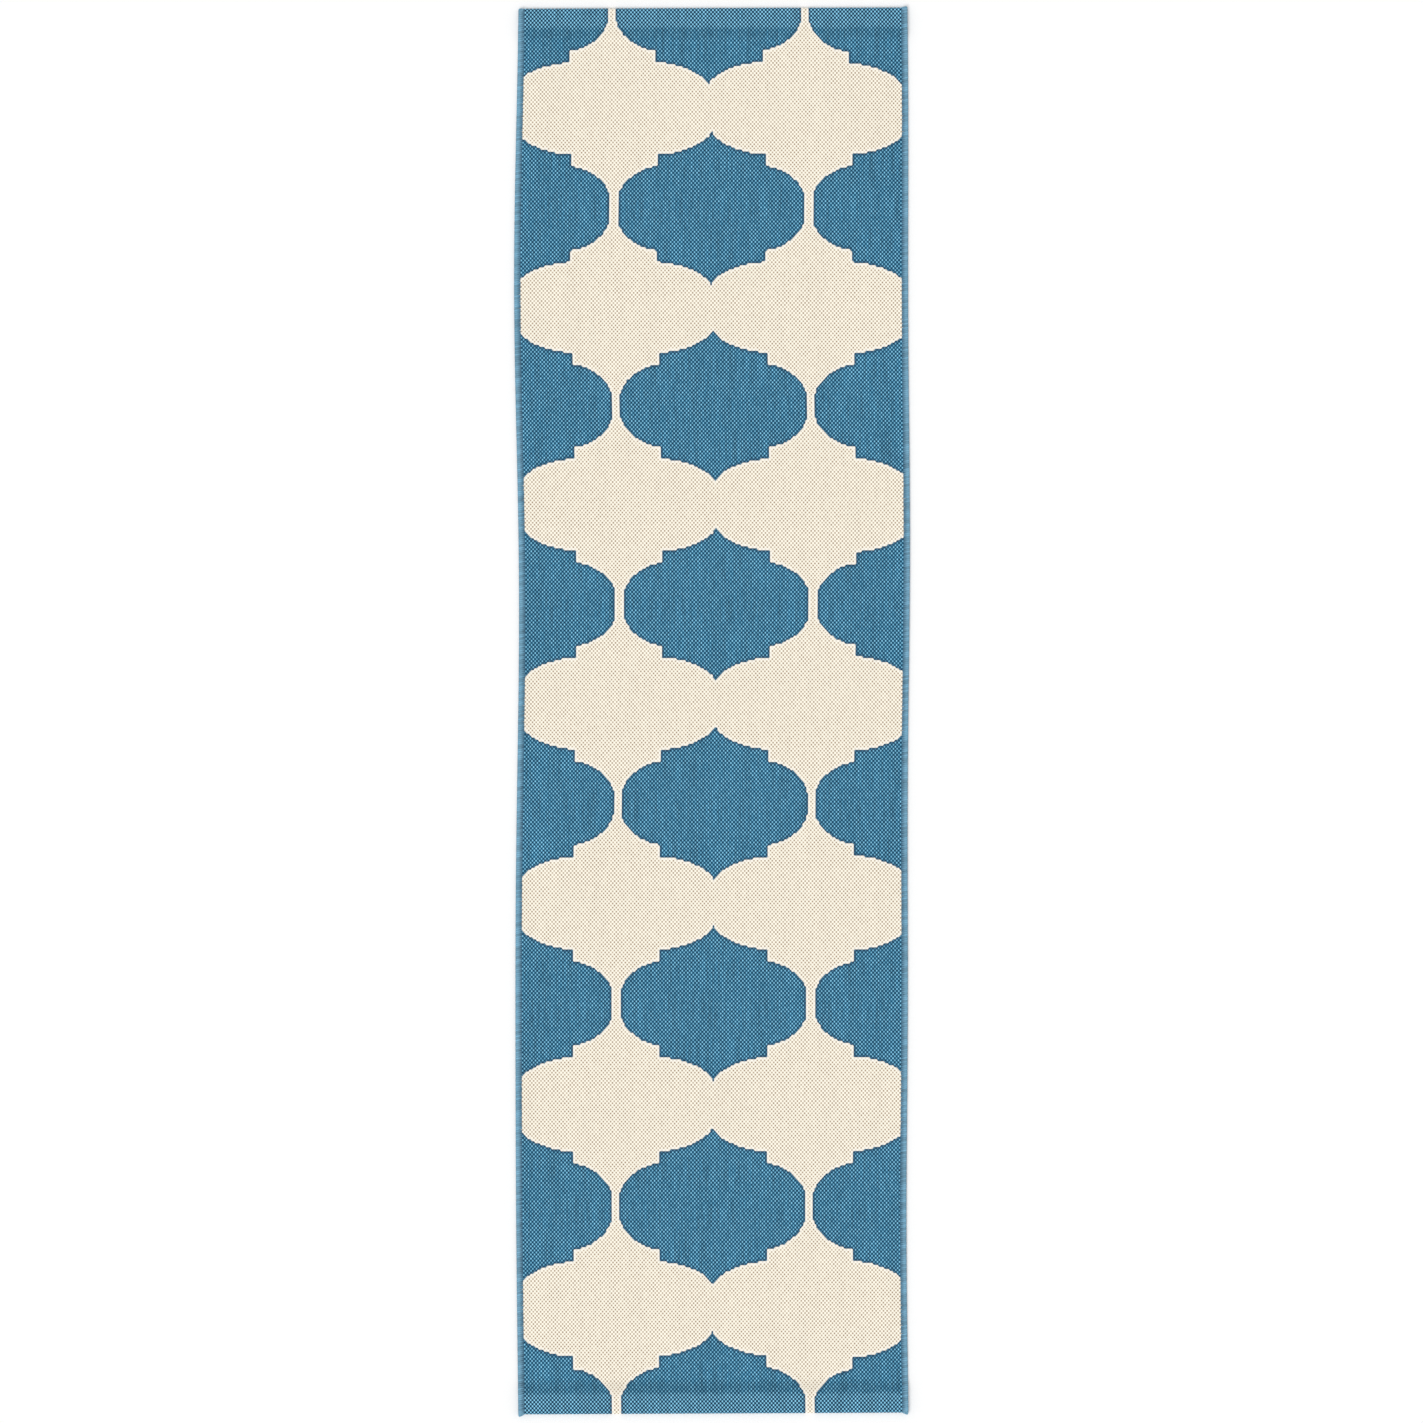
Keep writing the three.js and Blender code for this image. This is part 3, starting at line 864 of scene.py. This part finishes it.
def rim_of(yarn):
    """How near each vertex of the half-cell grid is to the end of its yarn, from 0 to 1"""
    wide = np.pad(yarn, 1, mode="edge")
    middle = wide[1:-1, 1:-1]
    surrounded = wide[:-2, 1:-1] & wide[2:, 1:-1] & wide[1:-1, :-2] & wide[1:-1, 2:]
    rim = (middle & ~surrounded).astype(float)
    quads = np.pad(np.kron(rim, np.ones((2, 2))), 1, mode="edge")
    return (quads[:-1, :-1] + quads[:-1, 1:] + quads[1:, :-1] + quads[1:, 1:]) / 4


def cut_cells(name, weave, cells):
    """A flat grid at half-cell spacing in which only the given cells are left"""
    rows = np.flatnonzero(cells.any(axis=1))
    columns = np.flatnonzero(cells.any(axis=0))
    low_row, high_row = rows[0], rows[-1] + 1
    low_column, high_column = columns[0], columns[-1] + 1
    piece = new_grid(name, int(2 * (high_column - low_column)), int(2 * (high_row - low_row)))

    def on_weave(places):
        """Column and row, counted in cells, of places on the new grid"""
        column = low_column + (places[:, 0] + 1) / 2 * (high_column - low_column)
        row = low_row + (places[:, 1] + 1) / 2 * (high_row - low_row)
        return column, row

    centres = np.empty(len(piece.data.polygons) * 3)
    piece.data.polygons.foreach_get("center", centres)
    column, row = on_weave(centres.reshape(-1, 3))
    bpy.context.tool_settings.mesh_select_mode = (False, False, True)
    piece.data.vertices.foreach_set("select", np.zeros(len(piece.data.vertices), dtype=bool))
    piece.data.edges.foreach_set("select", np.zeros(len(piece.data.edges), dtype=bool))
    piece.data.polygons.foreach_set("select", ~cells[row.astype(int), column.astype(int)])
    bpy.ops.object.mode_set(mode="EDIT")
    bpy.ops.mesh.delete(type="FACE")
    bpy.ops.object.mode_set(mode="OBJECT")
    column, row = on_weave(coordinates(piece))
    x = (column - weave.columns / 2) * weave.pitch_x
    y = (row - weave.rows / 2) * weave.pitch_y
    move_to(piece, np.stack([x, y, np.full_like(x, cad.yarn_top)], axis=1))
    return piece


def face_yarn(rug, weave, name, cells, yarn, inset, wrapped):
    """A stretch of face yarn. yarn holds all cells of the same yarn, and wrapped is true for one that goes
    round a fold."""
    piece = cut_cells(name, weave, cells)
    thickness = cad.yarn_top - cad.yarn_bottom
    if wrapped:
        thicken(piece, thickness)
    else:
        wall_and_floor(piece, thickness)
    x, along, height = coordinates(piece).T
    column = x / weave.pitch_x + weave.columns / 2
    row = along / weave.pitch_y + weave.rows / 2
    at = np.round(2 * row).astype(int), np.round(2 * column).astype(int)
    rounding = rug.weave.rounding * weave.pitch_x
    ends, moved_x, moved_y = outline_of(half_cell_quads(yarn), inset, rounding)
    upper = height > (cad.yarn_top + cad.yarn_bottom) / 2

    crown = np.sin(math.pi * column) * np.sin(math.pi * row)
    cell = np.clip(row.astype(int), 0, weave.rows - 1), np.clip(column.astype(int), 0, weave.columns - 1)
    relief = np.where(crown > 0, crown * rug.weave.crown, crown * rug.weave.gap) * weave.fullness[cell]
    relief -= rug.weave.rib * (1 - np.abs(np.sin(math.pi * column))) + rug.weave.valley * ends[at]
    press = np.clip((np.abs(x) - cad.serging_inner) / PRESS_WIDTH, 0, 1)
    edge = np.clip((np.abs(x) - cad.cloth_half_width) / PRESS_WIDTH + 1, 0, 1)
    relief -= rug.serging.squeeze * (press**2 * (3 - 2 * press) + edge**2 * EDGE_PRESS)
    write_map(piece, "weave", np.stack([x, along], axis=1))
    write_attribute(piece, "rim", rim_of(yarn)[at])

    y, z = course.place(along + moved_y[at], height + relief * upper)
    x, y = bowed(rug, x + moved_x[at], y)
    move_to(piece, np.stack([x, y, np.maximum(z, 0)], axis=1))
    smooth(piece)
    return piece


class RUG_OT_blue_figures(Operator):
    """Weave the blue figures, one stretch of face yarn each"""

    bl_idname = "rug.blue_figures"
    bl_label = "Blue figures"

    def execute(self, context):
        rug = context.scene.runner_rug
        weave = Weave(rug)
        hues = rug.colours
        tints = hues.blue_crown, hues.blue_body, hues.blue_gap, hues.blue_rim
        material = face_yarn_material(weave, "blue yarn", tints, BLUE_LOOK)
        for number, name in enumerate(weave.names[1:], start=1):
            cells = weave.figures == number
            wrapped = name.endswith(("head", "foot"))
            piece = face_yarn(rug, weave, f"blue_yarn_{name}", cells, cells, rug.weave.inset, wrapped)
            finish_piece(piece, "blue_yarn", material, f"blue_figure_{name}")
        return {"FINISHED"}


class RUG_OT_cream_yarn(Operator):
    """Weave the cream yarn round the figures, in stretches that meet at the figures' middles"""

    bl_idname = "rug.cream_yarn"
    bl_label = "Cream yarn"

    def execute(self, context):
        rug = context.scene.runner_rug
        weave = Weave(rug)
        hues = rug.colours
        tints = hues.cream_crown, hues.cream_body, hues.cream_gap, hues.cream_rim
        material = face_yarn_material(weave, "cream yarn", tints, CREAM_LOOK)
        cream = weave.figures == 0
        flat_end = cad.ramp_start - 2 * weave.pitch_y
        middles = [sum(p.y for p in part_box(f"blue_figure_middle_{row}")) / 2 for row in range(1, LAST_ROW)]
        cuts = [weave.row_at(y) for y in (flat_end, *middles, -flat_end)]
        everywhere, middle = slice(None), weave.columns // 2
        stretches = {str(band): (slice(low, high), everywhere)
                     for band, (high, low) in enumerate(zip(cuts, cuts[1:]), start=1)}
        for end, rows in (("head", slice(cuts[0], None)), ("foot", slice(0, cuts[-1]))):
            stretches[f"left_{end}"] = rows, slice(0, middle)
            stretches[f"right_{end}"] = rows, slice(middle, None)
        for name, (rows, columns) in stretches.items():
            cells = np.zeros_like(cream)
            cells[rows, columns] = cream[rows, columns]
            wrapped = name.endswith(("head", "foot"))
            piece = face_yarn(rug, weave, f"cream_yarn_{name}", cells, cream, 0.0, wrapped)
            finish_piece(piece, "cream_yarn", material, "cream_face_yarn")
        return {"FINISHED"}


# ---------------------------------------------------------------- ground cloth, backcoat and glue


SHEET_COLUMNS = 60
SHEET_STEPS = SimpleNamespace(flat=29, ramp=11, hem=4, fold=16)


def sheet_stations():
    """Where a sheet has its rows of vertices, from one cut end to the other, close together in a bend"""
    turn_end = course.end - (course.fold_start - course.ramp_end)
    stops = (0, cad.ramp_start, course.ramp_end, course.fold_start, turn_end, course.end)
    steps = SHEET_STEPS
    counts = (steps.flat, steps.ramp, steps.hem, steps.fold, steps.hem)
    stretches = [np.linspace(start, stop, count + 1)[1:]
                 for start, stop, count in zip(stops, stops[1:], counts)]
    half = np.concatenate([[0], *stretches])
    return np.concatenate([-half[:0:-1], half])


def hemmed_sheet(rug, name, half_width, bottom, top):
    """A layer that goes the whole way from one cut end round both folds to the other. half_width is worked
    out for each distance along the cloth."""
    stations = sheet_stations()
    piece = new_grid(name, SHEET_COLUMNS, len(stations) - 1)
    points = coordinates(piece)
    index = (points[:, 1] + 1) / 2 * (len(stations) - 1)
    along = np.interp(index, np.arange(len(stations)), stations)
    points = np.stack([points[:, 0] * half_width(np.abs(along)), along, 0 * along + top], axis=1)
    move_to(piece, points)
    thicken(piece, top - bottom)
    x, along, height = coordinates(piece).T
    write_map(piece, "weave", np.stack([x, along], axis=1))
    y, z = course.place(along, height)
    x, y = bowed(rug, x, y)
    move_to(piece, np.stack([x, y, z], axis=1))
    smooth(piece)
    widest = 2 * float(half_width(np.array([course.end]))[0])
    widths = 2 * half_width(np.abs(stations))
    area = float(np.sum((widths[1:] + widths[:-1]) / 2 * np.diff(stations)))
    return piece, (widest, 2 * course.end), area


class RUG_OT_ground_cloth(Operator):
    """Lay the ground cloth, in one length that is folded under at both ends"""

    bl_idname = "rug.ground_cloth"
    bl_label = "Ground cloth"

    def execute(self, context):
        rug = context.scene.runner_rug
        piece, flat, area = hemmed_sheet(
            rug, "ground_cloth", lambda along: cad.cloth_half_width + 0 * along,
            cad.ground_bottom, cad.ground_top)
        finish_piece(piece, "ground_yarn", ground_yarn(rug, Weave(rug)),
                     "ground_cloth_field", "ground_cloth_head_hem", "ground_cloth_foot_hem")
        return {"FINISHED"}


class RUG_OT_backcoat(Operator):
    """Coat the back with latex, which stops short of the serging except inside the hems"""

    bl_idname = "rug.backcoat"
    bl_label = "Latex backcoat"

    WIDENING = 2 * MM  # length over which it grows to the cloth's whole width

    def execute(self, context):
        rug = context.scene.runner_rug

        def half_width(along):
            inside = np.clip((along - course.ramp_end) / self.WIDENING, 0, 1)
            return cad.backcoat_half_width + (cad.cloth_half_width - cad.backcoat_half_width) * inside

        piece, flat, area = hemmed_sheet(rug, "latex_backcoat", half_width, 0.0, cad.backcoat_top)
        finish_piece(piece, "backcoat", latex_backing(rug, Weave(rug)),
                     "backcoat_field", "backcoat_head_hem", "backcoat_foot_hem")
        return {"FINISHED"}


class RUG_OT_hem_glue(Operator):
    """Spread the glue between the two thicknesses of each hem"""

    bl_idname = "rug.hem_glue"
    bl_label = "Hem glue"

    COLUMNS = 120
    ROWS = 10
    LAPS = 2.2 * MM  # how far its edge wanders
    EDGE_WAVES = (31, 57)
    SWELL_WAVES = (23, 5)
    FILLING = 0.7  # mean share of the gap between the two thicknesses

    def execute(self, context):
        rug = context.scene.runner_rug
        for name, end in ENDS.items():
            piece = new_grid(f"glue_strip_{name}", self.COLUMNS, self.ROWS)
            points = coordinates(piece)
            points[:, 2] = 1
            move_to(piece, points)
            thicken(piece, 2)
            x, inward, side = coordinates(piece).T
            slow, quick = self.EDGE_WAVES
            lap = self.LAPS * (0.5 + 0.5 * np.sin(slow * x) * np.cos(quick * x + 1))
            inner = cad.hem_start + lap
            y = inner + (cad.fold_axis - inner) * (inward + 1) / 2
            slow, quick = self.SWELL_WAVES
            waves = np.sin(slow * x + 2) * np.sin(quick * inward)
            swell = self.FILLING + (1 - self.FILLING) * waves
            z = cad.glue_middle + side * swell * (cad.glue_top - cad.glue_bottom) / 2
            x, y = bowed(rug, x * cad.cloth_half_width, end * y)
            move_to(piece, np.stack([x, y, z], axis=1))
            edit_mode(piece, "FACE")
            face_outwards()
            smooth(piece)
            finish_piece(piece, "glue", hem_glue(rug), f"hem_glue_{name}")
        return {"FINISHED"}


# ---------------------------------------------------------------- serging and corner locks


class Wraps:
    """A run of yarn wraps round one edge. Each is a flattened tube that starts in the cloth on top, goes
    round the edge and ends in the cloth underneath."""

    SECTION = 6  # corners of the yarn's section
    STEPS = 10  # steps along one wrap
    SPACING = STEPS + 2  # between the straight tubes that the wraps are bent from
    SQUARENESS = 5.0  # of the way round the edge, where 2 is an ellipse
    LEAST_HALF_HEIGHT = 0.5 * MM
    DIVE = 0.7 * MM  # how deep an end goes into the cloth
    OVERLAP = 0.3 * MM  # how far an end reaches past the serging's inner line
    WANDER = 0.5 * MM  # how far one end stands out from the next
    END_WIDTH = 0.8  # an end's width as a share of the yarn's
    LEAN_BELOW = -0.6  # the lean underneath as a share of the lean on top
    MAP_STEP = 31 * MM  # from one wrap's place in the map to the next
    # painted shade: on each wrap's sides, where it goes into the cloth and at the rug's edge
    CREASE = SimpleNamespace(steepness=1.6, start=0.75, rise=0.25, depth=0.9)
    INNER_SHADE = SimpleNamespace(width=1.6 * MM, depth=0.7)
    OUTER_SHADE = SimpleNamespace(width=1.2 * MM, depth=0.5)

    def __init__(self, rug, name, side, places, random):
        self.rug = rug
        self.side = side
        self.places = places
        self.uneven = random.random((len(places), 4)) - 0.5
        self.piece = self.straight_tubes(name, len(places))
        self.bend()

    def straight_tubes(self, name, count):
        bpy.ops.object.select_all(action="DESELECT")
        bpy.ops.mesh.primitive_circle_add(vertices=self.SECTION, radius=1, fill_type="NGON")
        piece = bpy.context.object
        piece.name = piece.data.name = name
        edit_mode(piece, "FACE")
        bpy.ops.mesh.select_all(action="SELECT")
        for _ in range(self.STEPS):
            bpy.ops.mesh.extrude_region_move(TRANSFORM_OT_translate={"value": (0, 0, 1)})
        face_outwards()
        array = piece.modifiers.new("Array", "ARRAY")
        array.count = count
        array.use_relative_offset = False
        array.use_constant_offset = True
        array.constant_offset_displace = (0, 0, self.SPACING)
        bpy.ops.object.modifier_apply(modifier=array.name)
        return piece

    def bend(self):
        sizes = self.rug.serging
        section_x, section_y, lift = coordinates(self.piece).T
        number = np.floor((lift + 0.5) / self.SPACING).astype(int)
        step = np.round(lift - number * self.SPACING)
        wander = self.uneven[number]
        turn = math.pi * (0.5 - step / self.STEPS)
        middle = self.places[number] + sizes.unevenness * sizes.pitch * wander[:, 0]

        thickness = sizes.yarn_thickness * (1 + sizes.unevenness * wander[:, 1])
        high = course.top(middle) + (cad.serging_top - cad.yarn_top)
        low = course.bottom(middle)
        half_height = np.maximum((high - low) / 2 - thickness / 2, self.LEAST_HALF_HEIGHT)
        half_length = cad.serging_outer - cad.serging_inner - thickness / 2
        power = 2 / self.SQUARENESS
        flat = np.abs(np.cos(turn)) ** power
        rise = np.sign(np.sin(turn)) * np.abs(np.sin(turn)) ** power
        out_x = flat ** (self.SQUARENESS - 1) / half_length
        out_z = np.sign(rise) * np.abs(rise) ** (self.SQUARENESS - 1) / half_height
        size = np.hypot(out_x, out_z)
        out = section_y * thickness / 2
        ending = (step == 0) | (step == self.STEPS)
        x = cad.serging_inner + half_length * flat + out * out_x / size
        x += (wander[:, 2] * self.WANDER - self.OVERLAP) * ending
        z = (high + low) / 2 + half_height * rise + out * out_z / size - self.DIVE * ending * np.sign(rise)
        z = np.maximum(z, 0.0)
        lean = sizes.slant * (flat - 0.5) * np.where(rise >= 0, 1, self.LEAN_BELOW)
        taper = np.where(ending, self.END_WIDTH, 1.0)
        across = section_x * sizes.yarn_width / 2 * taper
        y = middle + across + self.side * lean

        length_along = (1 - turn / (math.pi / 2)) * half_length
        place = np.stack([length_along + number * self.MAP_STEP, across + number * self.MAP_STEP], axis=1)
        write_map(self.piece, "yarn", place)
        write_attribute(self.piece, "crease", self.shade(section_x, section_y, x))
        write_attribute(self.piece, "wrap", wander[:, 3] + 0.5)
        x, y = bowed(self.rug, self.side * x, y)
        move_to(self.piece, np.stack([x, y, z], axis=1))
        edit_mode(self.piece, "FACE")
        face_outwards()
        smooth(self.piece, 70)

    def shade(self, section_x, section_y, x):
        """Painted shade on the yarn: on its sides, where it goes into the cloth and at the rug's edge"""
        crease, inner, outer = self.CREASE, self.INNER_SHADE, self.OUTER_SHADE
        sides = np.abs(section_x) * crease.steepness - crease.start - crease.rise * section_y
        from_inner = np.clip(1 - (x - cad.serging_inner) / inner.width, 0, 1)
        from_outer = np.clip(1 - (cad.serging_outer - x) / outer.width, 0, 1)
        dark = np.clip(sides, 0, 1) * crease.depth + from_inner * inner.depth + from_outer * outer.depth
        return np.clip(dark, 0, 1)


class RUG_OT_serging(Operator):
    """Oversew both long edges, over the flat cloth and over the hems"""

    bl_idname = "rug.serging"
    bl_label = "Serging"

    def execute(self, context):
        rug = context.scene.runner_rug
        random = np.random.default_rng(rug.serging.seed)
        pitch = rug.serging.pitch
        for side_name, side in SIDES.items():
            for part, low, high in (
                ("middle", -cad.ramp_start, cad.ramp_start),
                ("head", cad.ramp_start, cad.lock_start),
                ("foot", -cad.lock_start, -cad.ramp_start),
            ):
                count = round((high - low) / pitch)
                places = low + (np.arange(count) + 0.5) * (high - low) / count
                name = f"serging_yarn_{side_name}_{part}"
                wraps = Wraps(rug, name, side, places, random)
                finish_piece(wraps.piece, "serging_yarn", serging_yarn(rug), f"serging_{side_name}_{part}")
        return {"FINISHED"}


class Nub:
    """The yarn that is wound and back-tacked round the corner of a fold: a squarish knob with slanting
    ridges, longest at the rug's edge and running back to the fold on its inner side"""

    SEGMENTS = 48
    RINGS = 28
    SQUARENESS = 3.2  # where 2 is a ball
    STRAIGHT = 0.7  # share of its outer half that stands out to its full length
    SHORTENING = 0.8  # how much of what stands past the fold is taken off on the inner side
    SHORTENING_START = 0.5 * MM  # how far before the fold that starts
    RIDGE = 0.28 * MM  # height of the wound yarn's ridges
    RIDGE_PITCH = 2.1 * MM
    RIDGE_SLANT = 0.35  # how far a ridge runs back for each step across
    RIDGE_TILT = 0.15  # and for each step up
    # painted shade between two ridges
    CREASE = 0.6  # how dark it is between two ridges
    STRAND = math.pi / 2 * MM  # from one light strand to the next
    STRAND_CHANGE = 0.3  # how much lighter that is

    def __init__(self, rug, name, side, end, reach):
        bpy.ops.object.select_all(action="DESELECT")
        bpy.ops.mesh.primitive_uv_sphere_add(segments=self.SEGMENTS, ring_count=self.RINGS, radius=1)
        self.piece = bpy.context.object
        self.piece.name = self.piece.data.name = name
        x, y, z, ridges = self.wound(reach)
        write_map(self.piece, "yarn", np.stack([x + z, y], axis=1))
        # painted shade in the grooves between the ridges
        write_attribute(self.piece, "crease", np.clip(-ridges, 0, 1) * self.CREASE)
        strands = np.sin(2 * math.pi * x / self.STRAND)
        write_attribute(self.piece, "wrap", 0.5 + self.STRAND_CHANGE * strands)
        x, y = bowed(rug, side * x, end * y)
        move_to(self.piece, np.stack([x, y, z], axis=1))
        edit_mode(self.piece, "FACE")
        face_outwards()
        smooth(self.piece, 70)

    def wound(self, reach):
        """Where the knob's points lie at the right head corner, and how high its ridges stand there"""
        sphere = coordinates(self.piece)
        across, along, up = (np.sign(sphere) * np.abs(sphere) ** (2 / self.SQUARENESS))[:, [0, 2, 1]].T
        half_width = (cad.serging_outer - cad.serging_inner) / 2 - self.RIDGE
        half_height = (cad.hem_top + cad.serging_top - cad.yarn_top) / 2 - self.RIDGE
        middle = cad.serging_inner + half_width + self.RIDGE
        level = half_height + self.RIDGE
        front = cad.fold + reach
        x = middle + half_width * across
        y = (cad.lock_start + front) / 2 + along * (front - cad.lock_start) / 2
        z = level + half_height * up
        innerness = np.clip((self.STRAIGHT - across) / (self.STRAIGHT + 1), 0, 1)
        y -= np.clip(y - cad.fold + self.SHORTENING_START, 0, None) * innerness * self.SHORTENING
        slanting = y + self.RIDGE_SLANT * x + self.RIDGE_TILT * z
        ridges = np.cos(2 * math.pi * slanting / self.RIDGE_PITCH)
        x = middle + (x - middle) * (1 + self.RIDGE * ridges / half_width)
        z = level + (z - level) * (1 + self.RIDGE * ridges / half_height)
        return x, y, z, ridges


class RUG_OT_corner_locks(Operator):
    """Lock the serging at the four corners with wound yarn"""

    bl_idname = "rug.corner_locks"
    bl_label = "Corner locks"

    WRAPS = 2
    WRAP_START = 0.4  # place of the first one, in steps past the lock's start
    WRAP_CLOSENESS = 0.62  # the wraps' pitch as a share of the serging's

    def execute(self, context):
        rug = context.scene.runner_rug
        random = np.random.default_rng(rug.serging.seed + 1)
        for side_name, side in SIDES.items():
            for end_name, end in ENDS.items():
                corner = f"{side_name}_{end_name}"
                reach = getattr(rug.serging, f"nub_{corner}")
                nub = Nub(rug, f"lock_yarn_{corner}", side, end, reach).piece
                steps = np.arange(self.WRAPS) + self.WRAP_START
                places = end * (cad.lock_start + steps * rug.serging.pitch * self.WRAP_CLOSENESS)
                wraps = Wraps(rug, f"lock_wraps_{corner}", side, places, random)
                bpy.ops.object.select_all(action="DESELECT")
                wraps.piece.select_set(True)
                nub.select_set(True)
                bpy.context.view_layer.objects.active = nub
                bpy.ops.object.join()
                finish_piece(nub, "serging_yarn", serging_yarn(rug), f"corner_lock_{corner}")
        return {"FINISHED"}


# ---------------------------------------------------------------- stage


class RUG_OT_stage(Operator):
    """Set out the floor, the light and the camera"""

    bl_idname = "rug.stage"
    bl_label = "Floor, light and camera"

    def execute(self, context):
        scene = context.scene
        rug = scene.runner_rug
        sizes = rug.stage
        bpy.ops.object.select_all(action="DESELECT")
        bpy.ops.mesh.primitive_plane_add(size=sizes.floor_size)
        floor = context.object
        floor.name = "floor"
        floor.data.materials.append(floor_paint(rug))

        world = bpy.data.worlds.new("studio")
        world.use_nodes = True
        background = world.node_tree.nodes["Background"]
        background.inputs["Color"].default_value = (1, 1, 1, 1)
        background.inputs["Strength"].default_value = sizes.sky
        scene.world = world

        bpy.ops.object.light_add(type="SUN", rotation=(sizes.sun_tilt, 0, sizes.sun_turn))
        sun = context.object
        sun.data.energy = sizes.sun
        sun.data.angle = sizes.sun_angle

        bpy.ops.object.camera_add(location=(0, 0, 1), rotation=(0, 0, 0))
        camera = context.object
        camera.data.lens = sizes.lens
        distance = sizes.view_width * camera.data.lens / camera.data.sensor_width
        camera.location = (sizes.view_right, sizes.view_up, cad.yarn_top + distance)
        camera.data.clip_end = 100
        scene.camera = camera
        scene.view_settings.view_transform = "Standard"
        return {"FINISHED"}


# ---------------------------------------------------------------- add-on


OPERATORS = (
    RUG_OT_stage,
    RUG_OT_backcoat,
    RUG_OT_ground_cloth,
    RUG_OT_hem_glue,
    RUG_OT_blue_figures,
    RUG_OT_cream_yarn,
    RUG_OT_serging,
    RUG_OT_corner_locks,
)


class RUG_PT_panel(Panel):
    bl_label = "Runner rug"
    bl_idname = "RUG_PT_panel"
    bl_space_type = "VIEW_3D"
    bl_region_type = "UI"
    bl_category = "Rug"

    def draw(self, context):
        for operator in OPERATORS:
            self.layout.operator(operator.bl_idname)
        rug = context.scene.runner_rug
        for sizes in (rug.weave, rug.figure, rug.bow, rug.serging, rug.colours, rug.stage):
            box = self.layout.box()
            for name in sizes.__annotations__:
                box.prop(sizes, name)


GROUPS = (WeaveSizes, FigureSizes, BowSizes, SergingSizes, RugColours, StageSizes, RugSettings)
CLASSES = (*GROUPS, *OPERATORS, RUG_PT_panel)


def register():
    for cls in CLASSES:
        bpy.utils.register_class(cls)
    bpy.types.Scene.runner_rug = PointerProperty(type=RugSettings)


def unregister():
    del bpy.types.Scene.runner_rug
    for cls in reversed(CLASSES):
        bpy.utils.unregister_class(cls)


def main():
    register()
    for operator in OPERATORS:
        step = operator.bl_idname.split(".")[1]
        getattr(bpy.ops.rug, step)()


if __name__ == "__main__":
    main()
